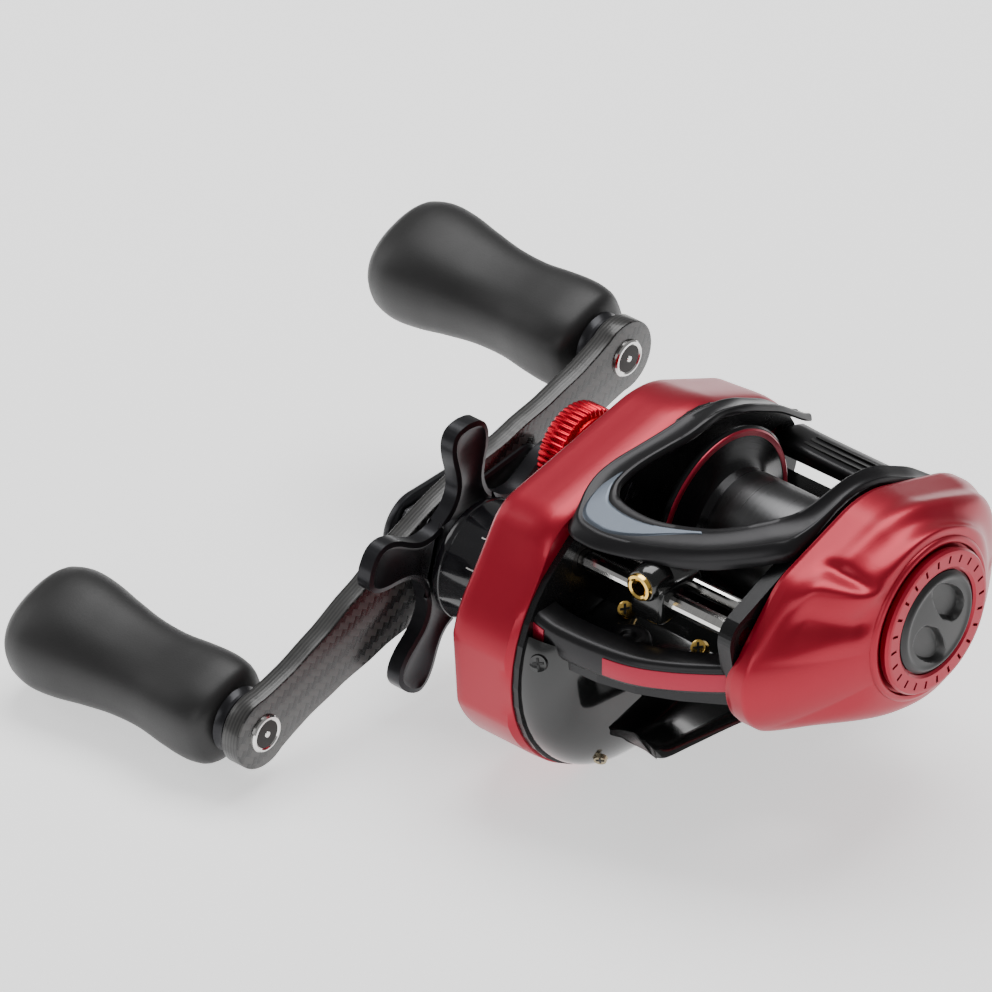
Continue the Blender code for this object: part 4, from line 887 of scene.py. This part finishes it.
piece("guide_saddle", soften(sheet(12, 12, guide_where, closed=True, ends=True), 0.35, 3, 25),
      "case_black", "line_guide", ("line_guide",), 40)
HOUSING = [(0.0, 1.7), (-0.2, 2.55), (-0.7, 2.85), (-1.6, 3.0), (-4.6, 3.1), (-4.6, 1.7)]
housing = piece("eye_housing", lathe(HOUSING, EYE, 64, 0.0, (0, -1, 0), guide_x),
                "case_black", "line_guide", (), 40)
housing.data.transform(Matrix.Translation((0, -HOUSING_FORWARD * MM, 0)))
piece("eye_ring", lathe([(1.9, 1.35), (2.1, 1.75), (1.95, 2.2), (1.4, 2.35), (0.0, 2.3),
                         (0.0, 1.35), (1.9, 1.35)], EYE, 64, 0.0, (0, -1, 0), guide_x),
      "gold_ring", "line_guide", ("line_guide_ring",), 40)

# ---- spool -------------------------------------------------------------------------------
spool_low, spool_high = span("spool")
half = (spool_high - spool_low) / 2
profile = [(-half, 8.3), (-half, 15.2), (-half + 0.25, 15.85), (-half + 0.8, 16.0),
           (-half + 1.15, 15.7), (-half + 1.25, 14.9), (-half + 1.9, 11.2), (-half + 3.0, 9.8),
           (-half + 4.4, 9.5)]
profile += [(-a, r) for a, r in reversed(profile)]
profile += [(6.0, 8.3), (6.0, 1.66), (-6.0, 1.66), (-6.0, 8.3), (-half, 8.3)]
piece("spool_body", lathe(profile, steps=128), "spool_black", "spool", ("spool",), 30)
for name, side in (("handle", -1), ("palm", 1)):
    ring_profile = [(side * (half - 1.32), 15.55), (side * (half - 1.5), 15.3),
                    (side * (half - 1.42), 14.5), (side * (half - 1.1), 14.4),
                    (side * (half - 1.1), 15.6), (side * (half - 1.32), 15.55)]
    piece(f"spool_stripe_{name}", lathe(ring_profile, steps=128), "accent_red", "spool")
piece("spool_sleeve", lathe([(-8.0, 9.3), (-8.0, 9.62), (-7.7, 9.72), (7.7, 9.72), (8.0, 9.62),
                             (8.0, 9.3)], steps=96), "arbor_metal", "spool")

# ---- thumb bar ---------------------------------------------------------------------------
BAR_SECTION = [(18.1, 2.1), (25.0, 1.9), (26.4, 0.5), (27.3, 0.9), (27.1, 2.2), (25.8, 3.5),
               (24.2, 4.1), (21.2, 4.7), (18.9, 4.9), (18.2, 4.4)]


def bar_where(u, v):
    k = round(v * len(BAR_SECTION)) % len(BAR_SECTION)
    y, z = BAR_SECTION[k]
    sag = 0.5 * math.sin(math.pi * u)
    return (mix(-16.8, 13.2, u), y, z - (sag if z > 3 else 0.0))


piece("thumb_rest", soften(sheet(24, len(BAR_SECTION), bar_where, closed=True, ends=True),
                           0.35, 3, 30), "satin_black", "thumb_bar", ("thumb_bar",), 35)
for index in range(3):
    y = 20.4 + index * 1.6
    bm = bmesh.new()
    bmesh.ops.create_cube(bm, size=1.0)
    bmesh.ops.scale(bm, verts=bm.verts, vec=(0.020, 0.0006, 0.0005))
    bmesh.ops.translate(bm, verts=bm.verts, vec=place(-1.8, y, 4.42 - index * 0.22))
    soften(bm, 0.12, 2)
    piece(f"thumb_rib_{index + 1}", bm, "cap_black", "thumb_bar", (), 35)

# ---- cast control ------------------------------------------------------------------------
cap_low, cap_high = span("cast_control_cap")
KNURLS = 44


def knurl_where(u, v):
    rows = [(5.2, 6.2), (5.2, 7.3), (4.9, 7.8), (4.5, 8.0), (1.0, 8.0), (0.6, 7.8), (0.2, 7.2),
            (0.0, 6.6), (0.0, 0.1)]
    k = round(v * (len(rows) - 1))
    x, radius = rows[k]
    groove = 0.5 - 0.5 * math.cos(u * KNURLS * 2 * math.pi)
    depth = 0.30 * groove ** 1.6 if 1 <= k <= 6 else 0.0
    angle = u * 2 * math.pi
    return (cap_low + x, (radius - depth) * math.cos(angle), (radius - depth) * math.sin(angle))


piece("cast_knurl", sheet(KNURLS * 8, 8, knurl_where, closed=True), "anodised_red",
      "cast_control", (), 50)
piece("cast_neck", lathe([(cap_high, 5.12), (cap_high, 6.2), (cap_high - 0.3, 6.5),
                          (cap_low + 6.2, 6.5), (cap_low + 5.7, 6.9), (cap_low + 5.1, 6.9),
                          (cap_low + 5.1, 5.12)], steps=96), "anodised_red", "cast_control",
      ("cast_control_cap",))

# ---- collar ------------------------------------------------------------------------------
low, high = span("drive_shaft_collar")
piece("collar_barrel",
      lathe([(high, 4.9), (high, 10.2), (high - 0.3, 10.5), (high - 1.2, 10.5), (high - 1.4, 10.3),
             (high - 1.7, 10.3), (high - 1.9, 10.5), (low + 2.2, 10.5), (low + 2.0, 10.35),
             (low + 1.6, 10.35), (low + 1.4, 10.5), (low + 0.9, 10.5), (low + 0.3, 10.2),
             (low, 9.6), (low, 8.3), (low + 10.2, 8.3), (low + 10.2, 4.9)], DRIVE, 128),
      "collar_black", "frame", ("drive_shaft_collar",))

# ---- star drag ---------------------------------------------------------------------------
star_low, star_high = span("star_drag")
ARM_HALF = [  # radius from the star's axis, half width of an arm there
    (8.6, 6.3), (10.0, 4.6), (12.0, 3.5), (14.0, 3.2), (16.5, 3.6), (19.0, 4.2), (21.5, 4.3),
    (23.4, 3.5), (24.3, 2.0), (24.6, 0.0),
]


def star_outline():
    points = []
    for arm in range(5):
        middle = math.radians(88 + 72 * arm)
        run = []
        for side in (-1, 1):
            steps = range(30) if side == -1 else range(28, -1, -1)
            for i in steps:
                radius, half = smooth_line(ARM_HALF, (i / 29) ** 0.9)
                sweep = -0.045 * (radius - 8.6) + 0.0042 * (radius - 8.6) ** 2
                offset = side * half + sweep * 1.5
                y = radius * math.cos(middle) - offset * math.sin(middle)
                z = radius * math.sin(middle) + offset * math.cos(middle)
                run.append(Vector((DRIVE[0] + y, DRIVE[1] + z)))
        points += run
    return points


bm = slab([(p.x, p.y) for p in star_outline()], star_low + 0.2, star_high - 0.2)
bmesh.ops.recalc_face_normals(bm, faces=bm.faces)
caps = [f for f in bm.faces if len(f.verts) > 8]
bmesh.ops.inset_region(bm, faces=caps, thickness=0.00085, depth=0.0002)
caps = [f for f in bm.faces if len(f.verts) > 8]
bmesh.ops.inset_region(bm, faces=caps, thickness=0.0006, depth=-0.0004)
bmesh.ops.triangulate(bm, faces=[f for f in bm.faces if len(f.verts) > 8])
piece("star_paddles", bm, "star_black", "star", ("star_drag",), 38)

# ---- handle arm --------------------------------------------------------------------------
arm_low, arm_high = span("handle_arm")


def arm_outline():
    half_at = [(0.0, 8.9), (9.0, 8.5), (20.0, 7.0), (30.0, 5.9), (37.0, 5.5), (41.0, 5.7)]
    right = []
    for i in range(40):
        s = mix(-41.0, 41.0, i / 39)
        t = abs(s)
        for (s0, h0), (s1, h1) in zip(half_at, half_at[1:]):
            if s0 <= t <= s1:
                k = (t - s0) / (s1 - s0)
                right.append((s, mix(h0, h1, k * k * (3 - 2 * k))))
                break
    end = []
    for i in range(1, 32):
        a = math.radians(mix(118, -118, i / 32))
        end.append((46.2 + 6.4 * math.cos(a), 6.4 * math.sin(a)))
    whole = right + end
    whole += [(-s, -h) for s, h in whole]
    c, s0 = math.cos(HANDLE_TILT), math.sin(HANDLE_TILT)
    return [(DRIVE[0] + a * c - b * s0, DRIVE[1] + a * s0 + b * c) for a, b in whole]


bm = slab(arm_outline(), arm_low, arm_high)
soften(bm, 0.28, 3, 50)
bmesh.ops.triangulate(bm, faces=[f for f in bm.faces if len(f.verts) > 8])
piece("carbon_arm", bm, "carbon_weave", "handle", ("handle_arm",), 40)

for side, (y, z) in KNOBS.items():
    head = span(f"knob_spindle_{side}")[1]
    piece(f"rivet_rim_{side}", lathe([(arm_high - 0.2, 2.3), (arm_high - 0.2, 3.3),
                                      (head - 0.1, 3.25), (head + 0.2, 3.0), (head + 0.25, 2.7),
                                      (head + 0.05, 2.4), (head - 0.2, 2.3)], (y, z), 64),
          "bright_steel", "handle")
    piece(f"rivet_face_{side}", lathe([(head - 0.1, 2.55), (head + 0.06, 2.5), (head + 0.14, 1.6),
                                       (head + 0.10, 0.0)], (y, z), 48), "rivet_dark", "handle")
    piece(f"rivet_dot_{side}", lathe([(head + 0.05, 0.6), (head + 0.22, 0.5), (head + 0.28, 0.0)],
                                     (y, z), 24), "bright_steel", "handle")
    collar_low, collar_high = span(f"knob_collar_{side}")
    piece(f"knob_ring_{side}",
          lathe([(collar_high, 2.1), (collar_high, 5.0), (collar_high - 0.4, 5.5),
                 (collar_high - 0.9, 5.5), (collar_high - 1.1, 5.2), (collar_high - 1.4, 5.2),
                 (collar_low, 5.6), (collar_low, 2.1)], (y, z), 64), "star_black", "handle",
          (f"knob_collar_{side}",))

nut_low, nut_high = span("nut_cover")
NUT = [(*DRIVE, 6.4), (DRIVE[0] + 11 * math.cos(HANDLE_TILT), DRIVE[1] + 11 * math.sin(HANDLE_TILT),
                       3.0)]
nut_line = even_loop(NUT, 96)
piece("nut_lid", skin(nut_line, [(nut_high, 0.2), (nut_high - 0.2, 0.0), (nut_low + 0.6, 0.0),
                                 (nut_low + 0.2, 0.25), (nut_low, 0.7), (nut_low, 1.4),
                                 (nut_low + 0.2, 1.6), (nut_low + 0.2, 2.6)]), "star_black",
      "handle", ("nut_cover",))
HUB = [(*DRIVE, 8.0), (DRIVE[0] + 19 * math.cos(HANDLE_TILT), DRIVE[1] + 19 * math.sin(HANDLE_TILT),
                       4.0)]
hub_line = even_loop(HUB, 96)
piece("arm_hub", skin(hub_line, [(arm_high - 0.1, 0.0), (arm_high + 0.45, 0.05),
                                 (arm_high + 0.75, 0.5), (arm_high + 0.75, 1.6),
                                 (arm_high + 0.45, 1.9), (arm_high + 0.45, 3.0)]), "star_black",
      "handle")

# ---- grips -------------------------------------------------------------------------------
GRIP = [  # share of the length from the arm, half width, half thickness, shift up
    (0.0, 5.7, 5.5, 0.0), (0.012, 7.2, 6.6, 0.0), (0.05, 8.3, 7.5, -0.2), (0.12, 8.8, 7.9, -0.3),
    (0.22, 8.7, 7.6, -0.2), (0.36, 8.2, 7.0, 0.0), (0.5, 8.5, 7.1, 0.1), (0.64, 9.5, 7.9, 0.2),
    (0.76, 10.5, 8.7, 0.2), (0.86, 10.8, 8.8, 0.1), (0.94, 10.0, 8.0, 0.0), (0.98, 8.2, 6.4, 0.0),
    (0.997, 4.4, 3.4, 0.0), (1.0, 0.05, 0.05, 0.0),
]
GRIP_SHARES = [g[0] for g in GRIP]
GRIP_SQUARENESS = (2.9, 2.35)  # of its section, beside the arm and at the far end


def grip_where(low, high, centre):
    def where(u, v):
        t = v ** 0.9
        i = max(k for k in range(len(GRIP) - 1) if GRIP_SHARES[k] <= t + 1e-9)
        k = (t - GRIP_SHARES[i]) / (GRIP_SHARES[i + 1] - GRIP_SHARES[i])
        _, width, thick, shift = smooth_line(GRIP, (i + k) / (len(GRIP) - 1))
        power = 2 / mix(*GRIP_SQUARENESS, t)
        angle = u * 2 * math.pi
        c, s = math.cos(angle), math.sin(angle)
        a = abs(width) * math.copysign(abs(c) ** power, c)
        b = abs(thick) * math.copysign(abs(s) ** power, s) + shift
        ct, st = math.cos(HANDLE_TILT), math.sin(HANDLE_TILT)
        return (mix(high, low, t), centre[0] + a * ct - b * st, centre[1] + a * st + b * ct)

    return where


for side in ("front", "rear"):
    grip_low, grip_high = span(f"grip_{side}")
    bm = sheet(72, 72, grip_where(grip_low, grip_high, KNOBS[side]), closed=True, ends=True)
    piece(f"soft_grip_{side}", bm, "soft_grip", f"{side}_grip", (f"grip_{side}",), 60)

# ---- floor, light and camera -------------------------------------------------------------
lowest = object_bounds()[0].z
bm = bmesh.new()
bmesh.ops.create_grid(bm, x_segments=1, y_segments=1, size=3.0)
bmesh.ops.translate(bm, verts=bm.verts, vec=(0, 0, lowest - 0.0006))
floor_mesh = bpy.data.meshes.new("floor")
bm.to_mesh(floor_mesh)
bm.free()
floor = bpy.data.objects.new("floor", floor_mesh)
bpy.context.scene.collection.objects.link(floor)
pale = Finish("pale_floor", (0.90, 0.90, 0.90), 0.85)
pale.put("Base Color", pale.blend(pale.noise(8.0), (0.89, 0.89, 0.89, 1), (0.91, 0.91, 0.91, 1)))
pale.put("Emission Color", (1.0, 1.0, 1.0, 1.0))
pale.put("Emission Strength", 0.9)
floor_mesh.materials.append(pale.made)

world = bpy.data.worlds.new("studio")
bpy.context.scene.world = world
world.use_nodes = True
world.node_tree.nodes["Background"].inputs["Color"].default_value = (1.0, 1.0, 1.0, 1.0)
world.node_tree.nodes["Background"].inputs["Strength"].default_value = 0.26


def softbox(name, position, target, size, power):
    light = bpy.data.lights.new(name, "AREA")
    light.shape = "RECTANGLE"
    light.size, light.size_y = size
    light.energy = power
    made = bpy.data.objects.new(name, light)
    made.location = position
    made.rotation_euler = (Vector(target) - Vector(position)).to_track_quat("-Z", "Y").to_euler()
    bpy.context.scene.collection.objects.link(made)


AIM = Vector((-0.03645, -0.02241, 0.02659))
CAMERA_AT = (0.7923, -0.9593, 0.8545)
softbox("key", (-0.15, 0.25, 0.75), AIM, (0.7, 0.5), 6.5)
softbox("front", (0.25, -0.8, 0.35), AIM, (0.5, 0.5), 1.6)
softbox("side", (-0.8, -0.25, 0.35), AIM, (0.4, 0.6), 1.6)

camera_data = bpy.data.cameras.new("camera")
camera_data.lens = 343.0
camera_data.sensor_width = 36.0
camera_data.clip_end = 20.0
camera = bpy.data.objects.new("camera", camera_data)
camera.location = CAMERA_AT
camera.rotation_euler = (AIM - camera.location).to_track_quat("-Z", "Y").to_euler()
bpy.context.scene.collection.objects.link(camera)
bpy.context.scene.camera = camera
